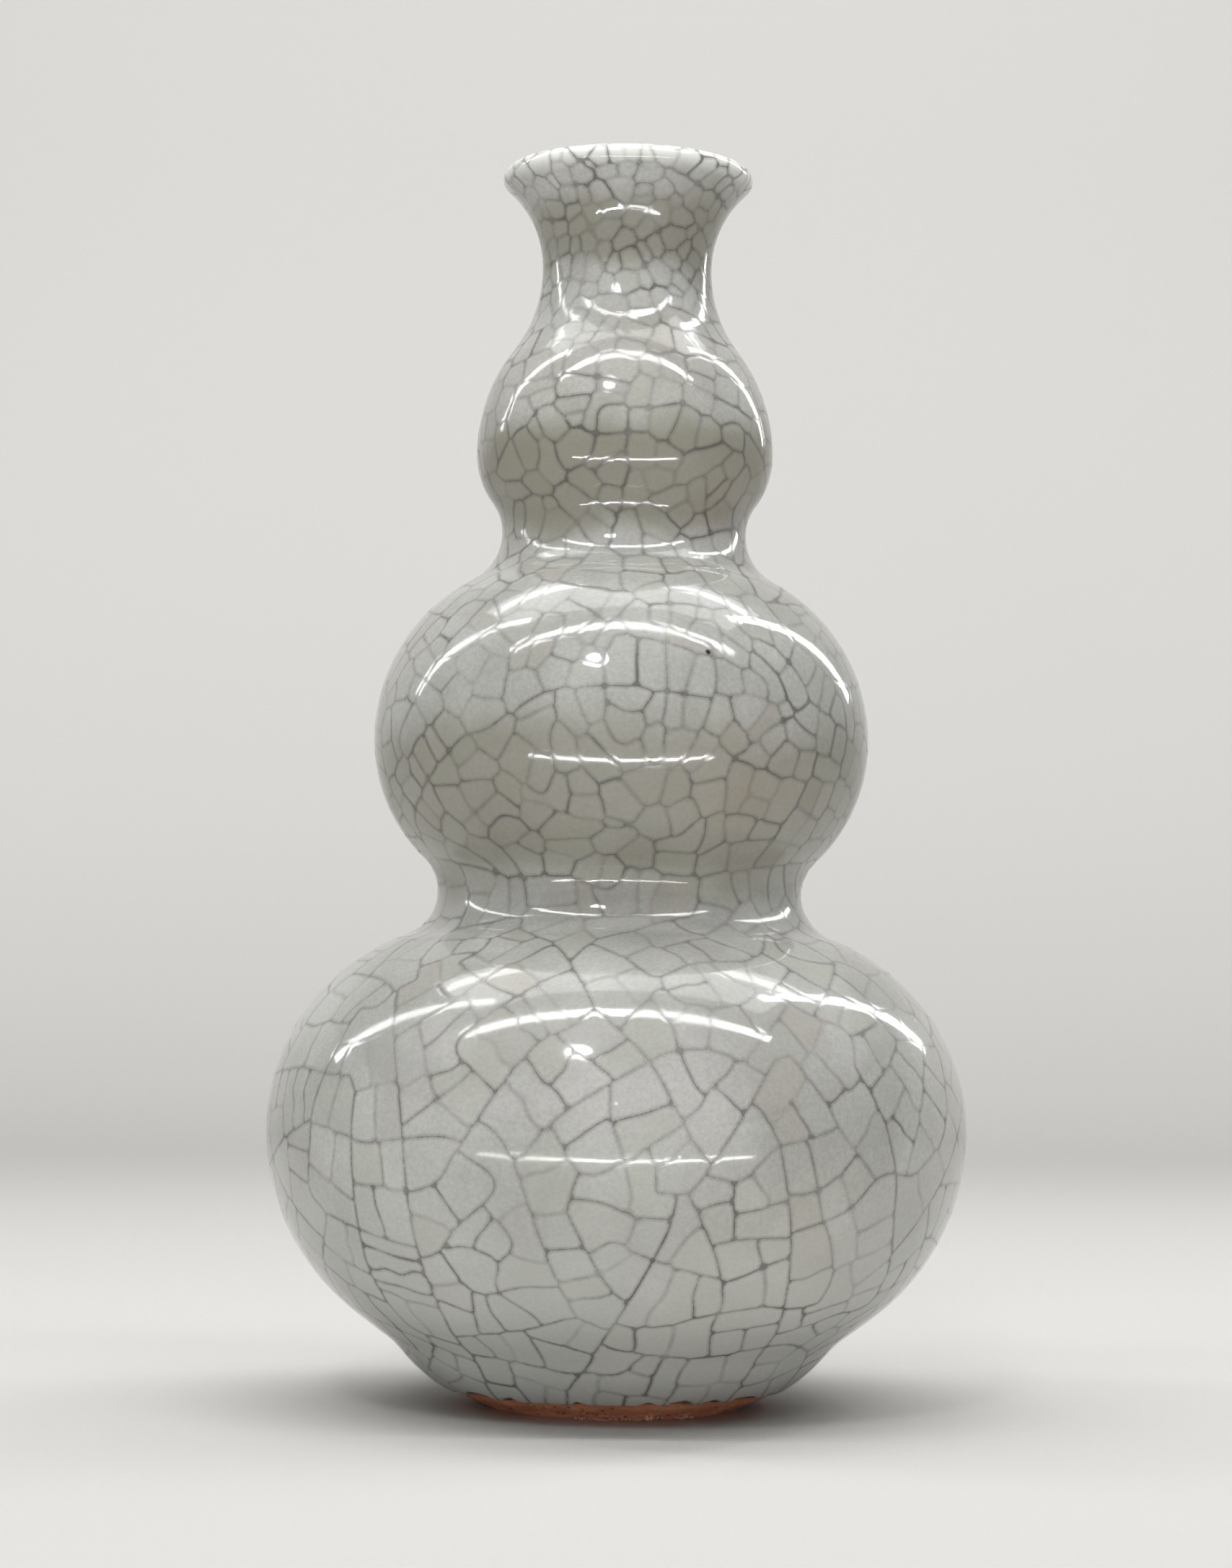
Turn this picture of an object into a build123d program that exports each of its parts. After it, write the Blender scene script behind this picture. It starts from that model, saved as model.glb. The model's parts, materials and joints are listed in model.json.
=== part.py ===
from build123d import *

import os
from math import atan2, cos, radians, sin, tan

# Crackle-glazed triple gourd vase, in millimetres, +Z up, standing on the plane z = 0.
# It is thrown in sections that are luted together with slip and then glazed.
# Every piece but the grit is a solid of revolution about Z, drawn as a half section of (radius, height).
# "Depth" is how far a surface lies inside the outer face of the glaze.

# Coats, wall and floor
glaze_thickness = 0.8
clay_thickness = 2.7
floor_rise = 3.2

# Foot ring
foot_height = 13.3
foot_radius = 30.0
foot_bevel_width = 3.0
foot_bevel_height = 1.5
foot_flat_width = 4.0
foot_bulge = 1.4
recess_depth = 9.0
glazed_foot_share = 0.7

# Outer radii of the glazed vase, from the table up
crease_radius = 46.3
lower_belly_radius = 73.5
lower_waist_radius = 38.3
middle_belly_radius = 52.0
upper_waist_radius = 25.7
upper_belly_radius = 31.2
neck_radius = 17.8
mouth_radius = 26.3

# Heights of the sections, each standing on the one before
lower_bowl_height = 44.3
lower_dome_height = 50.2
middle_bowl_height = 31.8
middle_dome_height = 43.8
upper_bowl_height = 16.5
upper_dome_height = 39.2
mouth_height = 20.9

# How the curves turn. A belly and a waist meet in two arcs: the share is the lower arc's part of the chord.
lower_bowl_turn_share = 0.839
lower_dome_share = 0.815
middle_bowl_share = 0.214
middle_dome_share = 0.761
upper_bowl_share = 0.384
upper_dome_share = 0.549

# Luting joints: a stepped ring of slip between two sections, and how far a cut for it runs past the wall
slip_thickness = 0.8
joint_step = 1.8
cut_overrun = 2.0

# Grains of kiln grit on the bevel of the foot, by their angles from the front
grit_radius = 0.9
grit_angles = (-14.0, -7.0, -2.5, 2.0, 6.5, 11.0, 15.5, 20.0, 28.0, 32.0, 36.0)

# Depths and heights that follow from the sizes above
wall_thickness = clay_thickness + 2 * glaze_thickness
clay_inner_depth = glaze_thickness + clay_thickness
floor_underside = recess_depth + glaze_thickness
clay_floor = foot_height + floor_rise
glazed_floor = clay_floor + glaze_thickness
foot_flat_radius = foot_radius - foot_bevel_width
foot_inner_radius = foot_flat_radius - foot_flat_width
belly_height = foot_height + lower_bowl_height

# The bowl leaves the belly upright, turns by this angle and then runs straight to the crease above the foot.
bowl_reach = lower_belly_radius - crease_radius
bowl_turn = lower_bowl_turn_share * 2 * atan2(bowl_reach, lower_bowl_height)
bowl_radius = (lower_bowl_height * sin(bowl_turn) - bowl_reach * cos(bowl_turn)) / (1 - cos(bowl_turn))


def stack_stations():
    """Places where the outer face runs upright, as (radius, height), from the lower belly to the neck."""
    steps = ((lower_belly_radius, belly_height), (lower_waist_radius, lower_dome_height),
             (middle_belly_radius, middle_bowl_height), (upper_waist_radius, middle_dome_height),
             (upper_belly_radius, upper_bowl_height), (neck_radius, upper_dome_height))
    places = []
    height = 0
    for radius, rise in steps:
        height += rise
        places.append((radius, height))
    return places


stations = stack_stations()
station_shares = (lower_dome_share, middle_bowl_share, middle_dome_share, upper_bowl_share, upper_dome_share)

# The wall of the mouth bends outwards on an arc along its middle, which ends at the centre of the round lip.
neck_height = stations[-1][1]
lip_radius = mouth_radius - wall_thickness / 2
lip_height = neck_height + mouth_height - wall_thickness / 2
flare_reach = mouth_radius - neck_radius
flare_rise = lip_height - neck_height
flare_radius = (flare_reach**2 + flare_rise**2) / (2 * flare_reach)
flare_turn = 2 * atan2(flare_reach, flare_rise)
flare_direction = (sin(flare_turn), cos(flare_turn))


def bowl_edges(depth, start_height):
    """Straight run and arc of the bowl at a depth, from a height up to the lower belly."""
    radius = bowl_radius - depth
    join_radius = lower_belly_radius - bowl_radius + radius * cos(bowl_turn)
    join_height = belly_height - radius * sin(bowl_turn)
    start_radius = join_radius - (join_height - start_height) * tan(bowl_turn)
    join = (join_radius, join_height)
    belly = (lower_belly_radius - depth, belly_height)
    return [Line((start_radius, start_height), join), TangentArc(belly, join, tangent=(0, -1))]


def bulb_edges(depth):
    """Pairs of arcs at a depth, from the lower belly up to the neck."""
    edges = []
    for (low_radius, low), (high_radius, high), share in zip(stations, stations[1:], station_shares):
        reach = high_radius - low_radius
        rise = high - low
        depth_share = share + depth * 2 * reach / (reach**2 + rise**2)
        start = (low_radius - depth, low)
        join = (low_radius - depth + depth_share * reach, low + depth_share * rise)
        end = (high_radius - depth, high)
        edges.append(TangentArc(start, join, tangent=(0, 1)))
        edges.append(TangentArc(end, join, tangent=(0, -1)))
    return edges


def crest(depth):
    """Tip of the lip, in the direction of the flare, at a depth."""
    radius = abs(wall_thickness / 2 - depth)
    return (lip_radius + radius * flare_direction[0], lip_height + radius * flare_direction[1])


def mouth_edges(depth):
    """Flare at a depth, and the quarter round from there to the crest of the lip."""
    radius = flare_radius - wall_thickness / 2 + depth
    centre_radius = neck_radius - wall_thickness / 2 + flare_radius
    start = (neck_radius - depth, neck_height)
    end = (centre_radius - radius * cos(flare_turn), neck_height + radius * sin(flare_turn))
    return [TangentArc(start, end, tangent=(0, 1)), TangentArc(end, crest(depth), tangent=flare_direction)]


def skin(depth, start_height):
    """Side of the vase at a depth, from a height on the bowl to the crest of the lip."""
    return bowl_edges(depth, start_height) + bulb_edges(depth) + mouth_edges(depth)


def crease(depth):
    """Point where the bowl meets the foot, at a depth."""
    return (crease_radius - depth / cos(bowl_turn), foot_height)


def foot_face():
    """Bulging outer face of the clay foot, from the crease down to the bevel."""
    return SagittaArc(crease(glaze_thickness), (foot_radius, foot_bevel_height), foot_bulge)


def place(vector):
    """Radius and height of a point on a half section."""
    return (vector.X, vector.Y)


def clay_section():
    """Half section of all the clay: foot ring, floor, wall and lip."""
    outside = skin(glaze_thickness, foot_height)
    inside = skin(clay_inner_depth, clay_floor)
    bottom = Polyline(place(inside[0] @ 0), (0, clay_floor), (0, floor_underside),
                      (foot_inner_radius, floor_underside), (foot_inner_radius, 0),
                      (foot_flat_radius, 0), (foot_radius, foot_bevel_height))
    return make_face(bottom.edges() + [foot_face()] + outside + inside)


def outer_glaze_section():
    """Half section of the outer coat, from the glaze line on the foot to the crest of the lip."""
    clay_face = foot_face()
    clay_end = place(clay_face @ glazed_foot_share)
    clay_middle = place(clay_face @ (glazed_foot_share / 2))
    downwards = clay_face % glazed_foot_share
    coat_end = (clay_end[0] - glaze_thickness * downwards.Y, clay_end[1] + glaze_thickness * downwards.X)
    coat_bulge = foot_bulge * glazed_foot_share**2
    foot_edges = [ThreePointArc(crease(glaze_thickness), clay_middle, clay_end), Line(clay_end, coat_end),
                  SagittaArc(crease(0), coat_end, coat_bulge)]
    lip_edge = Line(crest(0), crest(glaze_thickness))
    return make_face(skin(0, foot_height) + skin(glaze_thickness, foot_height) + foot_edges + [lip_edge])


def inner_glaze_section():
    """Half section of the lining, from the middle of the floor to the crest of the lip."""
    clay_face = skin(clay_inner_depth, clay_floor)
    coat_face = skin(wall_thickness, glazed_floor)
    floor = Polyline(place(clay_face[0] @ 0), (0, clay_floor), (0, glazed_floor), place(coat_face[0] @ 0))
    lip_edge = Line(crest(clay_inner_depth), crest(wall_thickness))
    return make_face(clay_face + coat_face + floor.edges() + [lip_edge])


def base_glaze_section():
    """Half section of the glaze under the floor, inside the foot ring."""
    return make_face(Polyline((0, recess_depth), (foot_inner_radius, recess_depth),
                              (foot_inner_radius, floor_underside), (0, floor_underside), close=True).edges())


def stepped_band(inner, middle_radius, outer):
    """Band of one slip thickness between two (radius, height) ends, with an upright step at a radius."""
    half = slip_thickness / 2
    lean = half if inner[1] > outer[1] else -half
    corners = ((outer[0], outer[1] - half), (middle_radius - lean, outer[1] - half),
               (middle_radius - lean, inner[1] - half), (inner[0], inner[1] - half),
               (inner[0], inner[1] + half), (middle_radius + lean, inner[1] + half),
               (middle_radius + lean, outer[1] + half), (outer[0], outer[1] + half))
    return make_face(Polyline(*corners, close=True).edges())


def wall_band(station):
    """Band of slip across the wall at a station, stepped up inside."""
    radius, height = station
    middle_radius = radius - glaze_thickness - clay_thickness / 2
    inner_radius = radius - clay_inner_depth - cut_overrun
    outer_radius = radius - glaze_thickness + cut_overrun
    return stepped_band((inner_radius, height + joint_step), middle_radius, (outer_radius, height))


def foot_band():
    """Band of slip under the bowl: along the crease, then down into the rebate of the foot ring."""
    outer_radius = crease(glaze_thickness)[0]
    middle_radius = (foot_inner_radius + outer_radius) / 2
    inner_height = floor_underside - slip_thickness / 2
    return stepped_band((foot_inner_radius - cut_overrun, inner_height), middle_radius,
                        (outer_radius + cut_overrun, foot_height))


def turned(half_section):
    """Solid of revolution about Z."""
    return revolve(Plane.XZ * half_section, axis=Axis.Z)


def kiln_grit(foot_ring):
    """Round grains, half sunk in the bevel of the foot, that reach down to the table."""
    seat_radius = foot_flat_radius + foot_bevel_width * grit_radius / foot_bevel_height
    grains = []
    for angle in grit_angles:
        turn = radians(angle)
        seat = Pos(seat_radius * sin(turn), -seat_radius * cos(turn), grit_radius)
        grains.append(seat * Sphere(grit_radius) - foot_ring)
    return Compound(children=grains)


def build():
    """All pieces of the vase by name. The upper bulb is thrown in one, so its belly has no joint."""
    lower_belly, lower_waist, middle_belly, upper_waist, _, neck = stations
    bands = {"foot_seam": foot_band(), "lower_belly_seam": wall_band(lower_belly),
             "lower_waist_seam": wall_band(lower_waist), "middle_belly_seam": wall_band(middle_belly),
             "upper_waist_seam": wall_band(upper_waist), "neck_seam": wall_band(neck)}
    section_names = ("foot_ring", "lower_bowl", "lower_dome", "middle_bowl", "middle_dome",
                     "upper_bulb", "neck_and_mouth")
    clay = clay_section()
    cut_clay = (clay - list(bands.values())).faces().sort_by(Axis.Y)
    pieces = {name: turned(piece) for name, piece in zip(section_names, cut_clay, strict=True)}
    for name, band in bands.items():
        pieces[name] = turned(clay & band)
    pieces["outer_glaze"] = turned(outer_glaze_section())
    pieces["inner_glaze"] = turned(inner_glaze_section())
    pieces["base_glaze"] = turned(base_glaze_section())
    pieces["kiln_grit"] = kiln_grit(pieces["foot_ring"])
    return pieces


os.makedirs("parts", exist_ok=True)
for piece_name, piece_solid in build().items():
    export_step(piece_solid, f"parts/{piece_name}.step")
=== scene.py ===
"""Looks of a crackle-glazed triple gourd vase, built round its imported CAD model.

The glaze is one unrolled sheet. It is cracked by rule and wrapped round the vase by Geometry Nodes.
Lengths are millimetres until a mesh is made, +Z is up, and angles about the axis count from the
front, which is -Y, towards +X.
"""

import json
import logging
import math
import random
from collections import Counter
from collections.abc import Sequence
from dataclasses import dataclass, field
from enum import Enum

import bpy
import numpy as np
from mathutils import Matrix, Vector, kdtree
from mathutils.geometry import delaunay_2d_cdt


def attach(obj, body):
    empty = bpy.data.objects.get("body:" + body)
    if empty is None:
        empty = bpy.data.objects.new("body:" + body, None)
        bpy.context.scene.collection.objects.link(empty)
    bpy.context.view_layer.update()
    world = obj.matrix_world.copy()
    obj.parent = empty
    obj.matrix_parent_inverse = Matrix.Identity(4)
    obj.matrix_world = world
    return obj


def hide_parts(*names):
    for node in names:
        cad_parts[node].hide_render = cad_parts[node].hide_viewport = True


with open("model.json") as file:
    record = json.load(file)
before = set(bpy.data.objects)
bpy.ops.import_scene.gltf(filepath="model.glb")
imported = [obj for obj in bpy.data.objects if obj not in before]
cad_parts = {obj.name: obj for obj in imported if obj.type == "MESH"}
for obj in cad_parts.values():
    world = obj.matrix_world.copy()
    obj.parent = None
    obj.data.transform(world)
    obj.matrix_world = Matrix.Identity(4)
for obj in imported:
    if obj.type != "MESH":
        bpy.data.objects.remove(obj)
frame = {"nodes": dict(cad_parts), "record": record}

MM = 0.001
FULL_TURN = 2 * math.pi
log = logging.getLogger("gourd_vase")

Colour = tuple[float, float, float, float]
Pair = tuple[float, float]
Array = np.ndarray
Piece = bpy.types.Object
Mesh = bpy.types.Mesh
Node = bpy.types.Node
NodeTree = bpy.types.NodeTree
Socket = bpy.types.NodeSocket

# Long cracks on the front: how dark each is, and its way as (degrees, height).
MAIN_CRACKS: tuple[tuple[float, tuple[Pair, ...]], ...] = (
    (0.7, ((-47, 90), (-44, 86), (-35, 64), (-34, 37), (-35, 23), (-37, 18), (-37, 10), (-39, 7))),
    (0.5, ((-8, 80), (-12, 78), (-15, 74), (-19, 67), (-23, 59), (-26, 54), (-27, 51), (-30, 49),
           (-33, 48))),
    (0.6, ((-24, 56), (-18, 50), (-26, 41), (-30, 36), (-33, 35))),
    (0.5, ((-21, 62), (-19, 61), (-15, 53), (-9, 29), (-7, 24))),
    (0.5, ((-1, 81), (5, 74), (11, 60), (14, 55))),
    (0.4, ((23, 72), (16, 76), (9, 76), (5, 74), (-8, 64), (-14, 56))),
    (0.5, ((28, 75), (26, 75), (24, 72), (12, 50))),
    (0.4, ((28, 76), (31, 71), (35, 64), (36, 61), (44, 51))),
    (0.7, ((41, 73), (46, 62), (47, 58), (49, 52), (51, 42), (56, 32), (58, 27), (58, 24), (48, 23),
           (46, 22))),
    (0.6, ((20, 66), (22, 66), (23, 63), (25, 59), (27, 49), (29, 40), (32, 28), (36, 19), (38, 10),
           (38, 9))),
    (0.5, ((25, 58), (30, 59), (35, 61))),
    (0.6, ((30, 59), (34, 44), (36, 41), (40, 33))),
    (0.6, ((29, 41), (39, 45), (44, 51), (47, 52), (49, 52), (53, 51), (55, 52), (61, 56))),
    (0.4, ((20, 67), (22, 66), (28, 67), (35, 66), (43, 67))),
    (0.4, ((-16, 73), (-11, 69), (-7, 64))),
    (0.4, ((-9, 60), (-4, 52), (10, 62))),
    (0.5, ((5, 57), (6, 53), (6, 49))),
    (0.4, ((-1, 69), (-1, 66), (-1, 63), (0, 60), (1, 56))),
    (0.6, ((-37, 18), (-17, 21), (-7, 24), (-2, 21), (0, 22))),
    (0.8, ((8, 41), (-3, 18), (-6, 13), (-10, 10), (-13, 7), (-15, 4))),
    (0.5, ((-7, 44), (-2, 32), (1, 28))),
    (0.5, ((-4, 37), (0, 40), (2, 38), (6, 36), (11, 34), (18, 32))),
    (0.6, ((14, 42), (17, 35), (20, 26), (19, 23), (21, 18), (23, 15))),
    (0.5, ((16, 39), (21, 40), (27, 40), (29, 40))),
    (0.7, ((0, 23), (2, 22), (9, 22), (16, 24), (21, 25), (30, 26), (34, 25), (41, 26))),
    (0.8, ((-2, 18), (-1, 17), (15, 15), (24, 15), (41, 17), (53, 15))),
    (0.8, ((-58, 45), (-46, 45), (-53, 45))),
    (0.6, ((-53, 42), (-40, 38), (-34, 37))),
    (0.6, ((-45, 66), (-45, 52), (-46, 40), (-48, 30), (-49, 20))),
    (0.7, ((-53, 76), (-54, 71), (-56, 62), (-56, 56), (-58, 46), (-54, 42), (-62, 33))),
    (0.8, ((-36, 71), (-41, 69), (-49, 62))),
    (0.5, ((-23, 72), (-24, 70), (-34, 61))),
    (0.5, ((-54, 60), (-45, 58), (-42, 57), (-28, 59), (-24, 58))),
    (0.7, ((-10, 91), (-14, 89), (-18, 86), (-27, 77), (-23, 72), (-19, 68))),
    (0.7, ((-33, 92), (-24, 88), (-18, 86))),
    (0.6, ((-26, 99), (-14, 96), (-5, 86), (-4, 84))),
    (0.6, ((44, 99), (39, 95), (50, 93), (54, 94), (60, 91), (62, 84), (68, 83), (70, 75))),
    (0.6, ((54, 94), (37, 84))),
    (0.4, ((23, 89), (29, 87), (35, 83), (42, 80), (42, 76), (41, 73))),
    (0.5, ((33, 95), (40, 89), (46, 87), (52, 82), (54, 78), (58, 78), (63, 77))),
    (0.5, ((-73, 70), (-62, 71), (-53, 70), (-47, 70))),
    (0.7, ((-29, 35), (-25, 28), (-16, 30), (-12, 30))),
    (0.6, ((-26, 28), (-28, 22), (-29, 20))),
    (0.6, ((-28, 37), (-25, 38), (-23, 37), (-19, 35), (-21, 29), (-15, 24), (-14, 21))),
    (0.5, ((-20, 45), (-16, 39), (-18, 36), (-19, 35))),
    (0.6, ((-18, 20), (-17, 14))),
    (0.8, ((-17, 19), (-6, 16))),
    (0.7, ((-23, 13), (-10, 11), (-6, 12), (-1, 11))),
    (0.5, ((-64, 90), (-52, 89), (-46, 87), (-43, 85))),
    (0.5, ((-35, 92), (-45, 87), (-46, 84), (-50, 83), (-55, 84))),
    (0.7, ((-32, 97), (-31, 95), (-35, 92))),
    (0.4, ((9, 62), (11, 63), (17, 68), (20, 66))),
    (0.6, ((-10, 92), (-9, 94), (-3, 98), (16, 102), (20, 102))),
    (0.5, ((4, 92), (6, 90), (8, 90), (16, 93), (30, 94), (42, 99))),
    (0.4, ((20, 52), (24, 57), (25, 58))),
    (0.4, ((8, 90), (8, 88), (11, 85), (14, 85), (17, 84), (22, 85))),
    (0.6, ((-27, 141), (-21, 144), (-17, 146), (-7, 147), (1, 147), (20, 145))),
    (0.4, ((21, 146), (36, 145), (40, 137), (46, 136))),
    (0.5, ((-2, 158), (-3, 155), (-4, 149), (-3, 138))),
    (0.6, ((-2, 157), (5, 157), (27, 152), (34, 150))),
    (0.5, ((10, 155), (10, 147), (9, 138), (10, 131))),
    (0.4, ((7, 162), (5, 157))),
    (0.4, ((6, 160), (11, 160), (15, 157), (19, 157))),
    (0.5, ((22, 158), (21, 154), (22, 151), (21, 146), (20, 145), (18, 139), (13, 132))),
    (0.7, ((18, 139), (22, 137), (24, 134))),
    (0.7, ((-15, 146), (-14, 144), (-15, 139))),
    (0.7, ((-18, 138), (-14, 134), (-15, 132))),
    (0.6, ((-26, 140), (-24, 139), (-18, 138), (-6, 140), (-3, 140))),
    (0.5, ((-24, 139), (-26, 135), (-28, 133))),
    (0.5, ((-24, 156), (-26, 155), (-27, 151), (-27, 147), (-26, 142))),
    (0.4, ((-16, 155), (-19, 151), (-20, 149), (-18, 147), (-17, 146))),
    (0.6, ((-43, 143), (-39, 141), (-30, 133), (-16, 124))),
    (0.5, ((-34, 171), (-36, 170), (-38, 168), (-48, 155), (-54, 146), (-61, 138))),
    (0.4, ((-26, 169), (-29, 165))),
    (0.4, ((-13, 162), (-19, 162), (-29, 163), (-38, 156), (-42, 154))),
    (0.7, ((-28, 140), (-32, 138), (-37, 138), (-44, 133), (-60, 124))),
    (0.9, ((-43, 143), (-57, 134), (-54, 128))),
    (0.6, ((-50, 141), (-44, 134))),
    (0.8, ((-50, 129), (-48, 124), (-40, 117), (-37, 118), (-31, 122))),
    (0.7, ((-29, 123), (-19, 117))),
    (0.5, ((-29, 123), (-24, 127), (-21, 127))),
    (0.7, ((-21, 117), (-17, 121), (-12, 124), (-16, 124))),
    (0.7, ((-20, 118), (-23, 112), (-23, 110))),
    (0.7, ((-48, 112), (-40, 111), (-37, 110), (-24, 110), (-15, 110), (-9, 109), (-5, 107))),
    (0.6, ((-37, 118), (-30, 109), (-28, 100))),
    (0.7, ((0, 108), (2, 112), (-1, 114), (-5, 115), (-12, 113))),
    (0.6, ((6, 112), (21, 110), (29, 111), (65, 114))),
    (0.5, ((14, 111), (16, 105))),
    (0.4, ((25, 126), (27, 119), (30, 117))),
    (0.6, ((30, 159), (38, 157), (43, 153), (46, 150), (46, 147), (51, 144), (65, 140))),
    (0.7, ((46, 161), (48, 157), (53, 154), (61, 147), (62, 139), (60, 130))),
    (0.4, ((28, 134), (32, 138))),
    (0.7, ((24, 126), (30, 128))),
    (0.4, ((27, 173), (27, 168), (29, 167), (49, 168))),
    (0.4, ((30, 167), (29, 165), (30, 161))),
    (0.6, ((-4, 172), (18, 171), (20, 172))),
    (0.4, ((0, 174), (-1, 168))),
    (0.5, ((-51, 165), (-54, 157), (-58, 156), (-60, 154), (-60, 153), (-46, 147))),
    (0.7, ((-67, 145), (-60, 146), (-55, 145))),
    (0.6, ((-3, 144), (2, 141), (6, 144))),
    (0.6, ((-4, 125), (-4, 121), (-5, 118), (-18, 117))),
    (0.5, ((3, 120), (4, 122), (7, 124), (9, 125), (12, 121), (14, 118), (9, 117), (4, 119), (3, 120))),
    (0.5, ((-2, 121), (3, 120))),
    (0.6, ((16, 118), (18, 121), (21, 122))),
    (0.6, ((-5, 98), (16, 102))),
    (0.6, ((-48, 128), (-42, 128), (-35, 129), (-31, 129))),
    (0.6, ((-11, 138), (-10, 136), (-9, 132))),
    (0.4, ((0, 134), (7, 140))),
    (0.9, ((-7, 206), (8, 205), (14, 205.5), (23, 207), (27, 205.5))),
    (1.0, ((1, 205.5), (1, 193))),
    (0.8, ((-12, 205.5), (-10, 201), (-13, 195))),
    (1.0, ((-20, 201.5), (-16, 200), (-4, 199.5), (4, 200.5), (14, 198.5), (20, 197))),
    (0.8, ((-6, 208.5), (-12, 207), (-21, 201.5), (-34, 197.5))),
    (0.7, ((-41, 202), (-37, 200), (-34, 197.5), (-34, 194.5), (-52, 191.5), (-62, 193.5))),
    (0.6, ((14, 205), (15, 198.5))),
    (0.6, ((27, 205.5), (18, 195))),
    (0.7, ((27, 205.5), (38, 203), (40, 199), (47, 198), (52, 198))),
    (0.5, ((-22, 201), (-26, 205), (-31, 206.5))),
    (0.9, ((-43, 203), (-63, 193.5))),
    (0.9, ((-33, 188.5), (-18, 194), (-12, 195))),
    (0.7, ((-53, 188.5), (-32, 188.5), (-29, 184.5), (-22, 183.5), (-18, 179.5))),
    (0.5, ((-22, 178), (-17, 175), (-6, 172), (17, 171.5), (21, 172))),
    (0.6, ((-7, 179.5), (-3, 177), (0, 171.5))),
    (0.5, ((-58, 180), (-49, 180.5), (-35, 178.5), (-29, 177), (-22, 177))),
    (0.6, ((-65, 187), (-60, 180.5))),
    (0.9, ((50, 203.5), (53, 202), (51, 197), (58, 195.5), (60, 194), (60, 182), (55, 176.5))),
    (0.7, ((31, 180), (35, 180.5), (40, 180), (46, 182), (60, 183))),
    (0.6, ((23, 176), (21, 178.5), (21, 179), (26, 181.5), (33, 183), (34, 185.5), (40, 185.5))),
    (1.0, ((46, 186.5), (47, 188.5), (51, 192.5))),
)


def srgb(red: int, green: int, blue: int) -> Colour:
    """Give a colour as it is seen, 0 to 255, in the linear values that shaders use.

    Args:
        red: Red as seen.
        green: Green as seen.
        blue: Blue as seen.

    Returns:
        Linear red, green, blue and full alpha.
    """
    shares = [value / 255 for value in (red, green, blue)]
    linear = [s / 12.92 if s <= 0.04045 else ((s + 0.055) / 1.055) ** 2.4 for s in shares]
    return (linear[0], linear[1], linear[2], 1.0)


def linked(name: str, data: bpy.types.ID) -> Piece:
    """Make an object of a mesh, curve, lamp or camera and put it in the scene.

    Args:
        name: Name of the object.
        data: What it shows.

    Returns:
        The object, at the origin.
    """
    made = bpy.data.objects.new(name, data)
    bpy.context.scene.collection.objects.link(made)
    return made


def point_tree(points: Array) -> kdtree.KDTree:
    """Sort points of the unrolled sheet, so that the nearest one is found quickly.

    Args:
        points: Turn and rise of each point.

    Returns:
        The sorted points.
    """
    tree = kdtree.KDTree(len(points))
    for number, (turn, rise) in enumerate(points):
        tree.insert((turn, rise, 0), number)
    tree.balance()
    return tree


def arc(start: Sequence[float], tangent: Sequence[float], end: Sequence[float],
        step: float = 0.15) -> Array:
    """Draw the arc that leaves one point along a tangent and ends at another.

    Args:
        start: First point.
        tangent: Direction of the arc at its start.
        end: Last point.
        step: Length between the points.

    Returns:
        Points along the arc, both ends among them.
    """
    first = np.array(start, float)
    ahead = np.array(tangent, float) / math.hypot(*tangent)
    aside = np.array((-ahead[1], ahead[0]))
    chord = np.array(end, float) - first
    bend = 2 * (chord @ aside) / (chord @ chord)
    if abs(bend) < 1e-9:
        return first + np.linspace(0, 1, max(2, int(np.hypot(*chord) / step)))[:, None] * chord
    turn = 2 * math.atan2(chord @ aside, chord @ ahead)
    angles = np.linspace(0, turn, max(3, math.ceil(abs(turn / bend) / step) + 1))
    return first + (np.sin(angles)[:, None] * ahead + (1 - np.cos(angles))[:, None] * aside) / bend


def rounded(before: Array, corner: Array, after: Array, count: int = 24) -> Array:
    """Round a corner between a point before it and a point after it.

    Args:
        before: Point where the rounding starts.
        corner: The sharp corner.
        after: Point where the rounding ends.
        count: Number of points.

    Returns:
        Points of the rounding, both ends among them.
    """
    share = np.linspace(0, 1, count)[:, None]
    return (1 - share) ** 2 * before + 2 * share * (1 - share) * corner + share**2 * after


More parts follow.
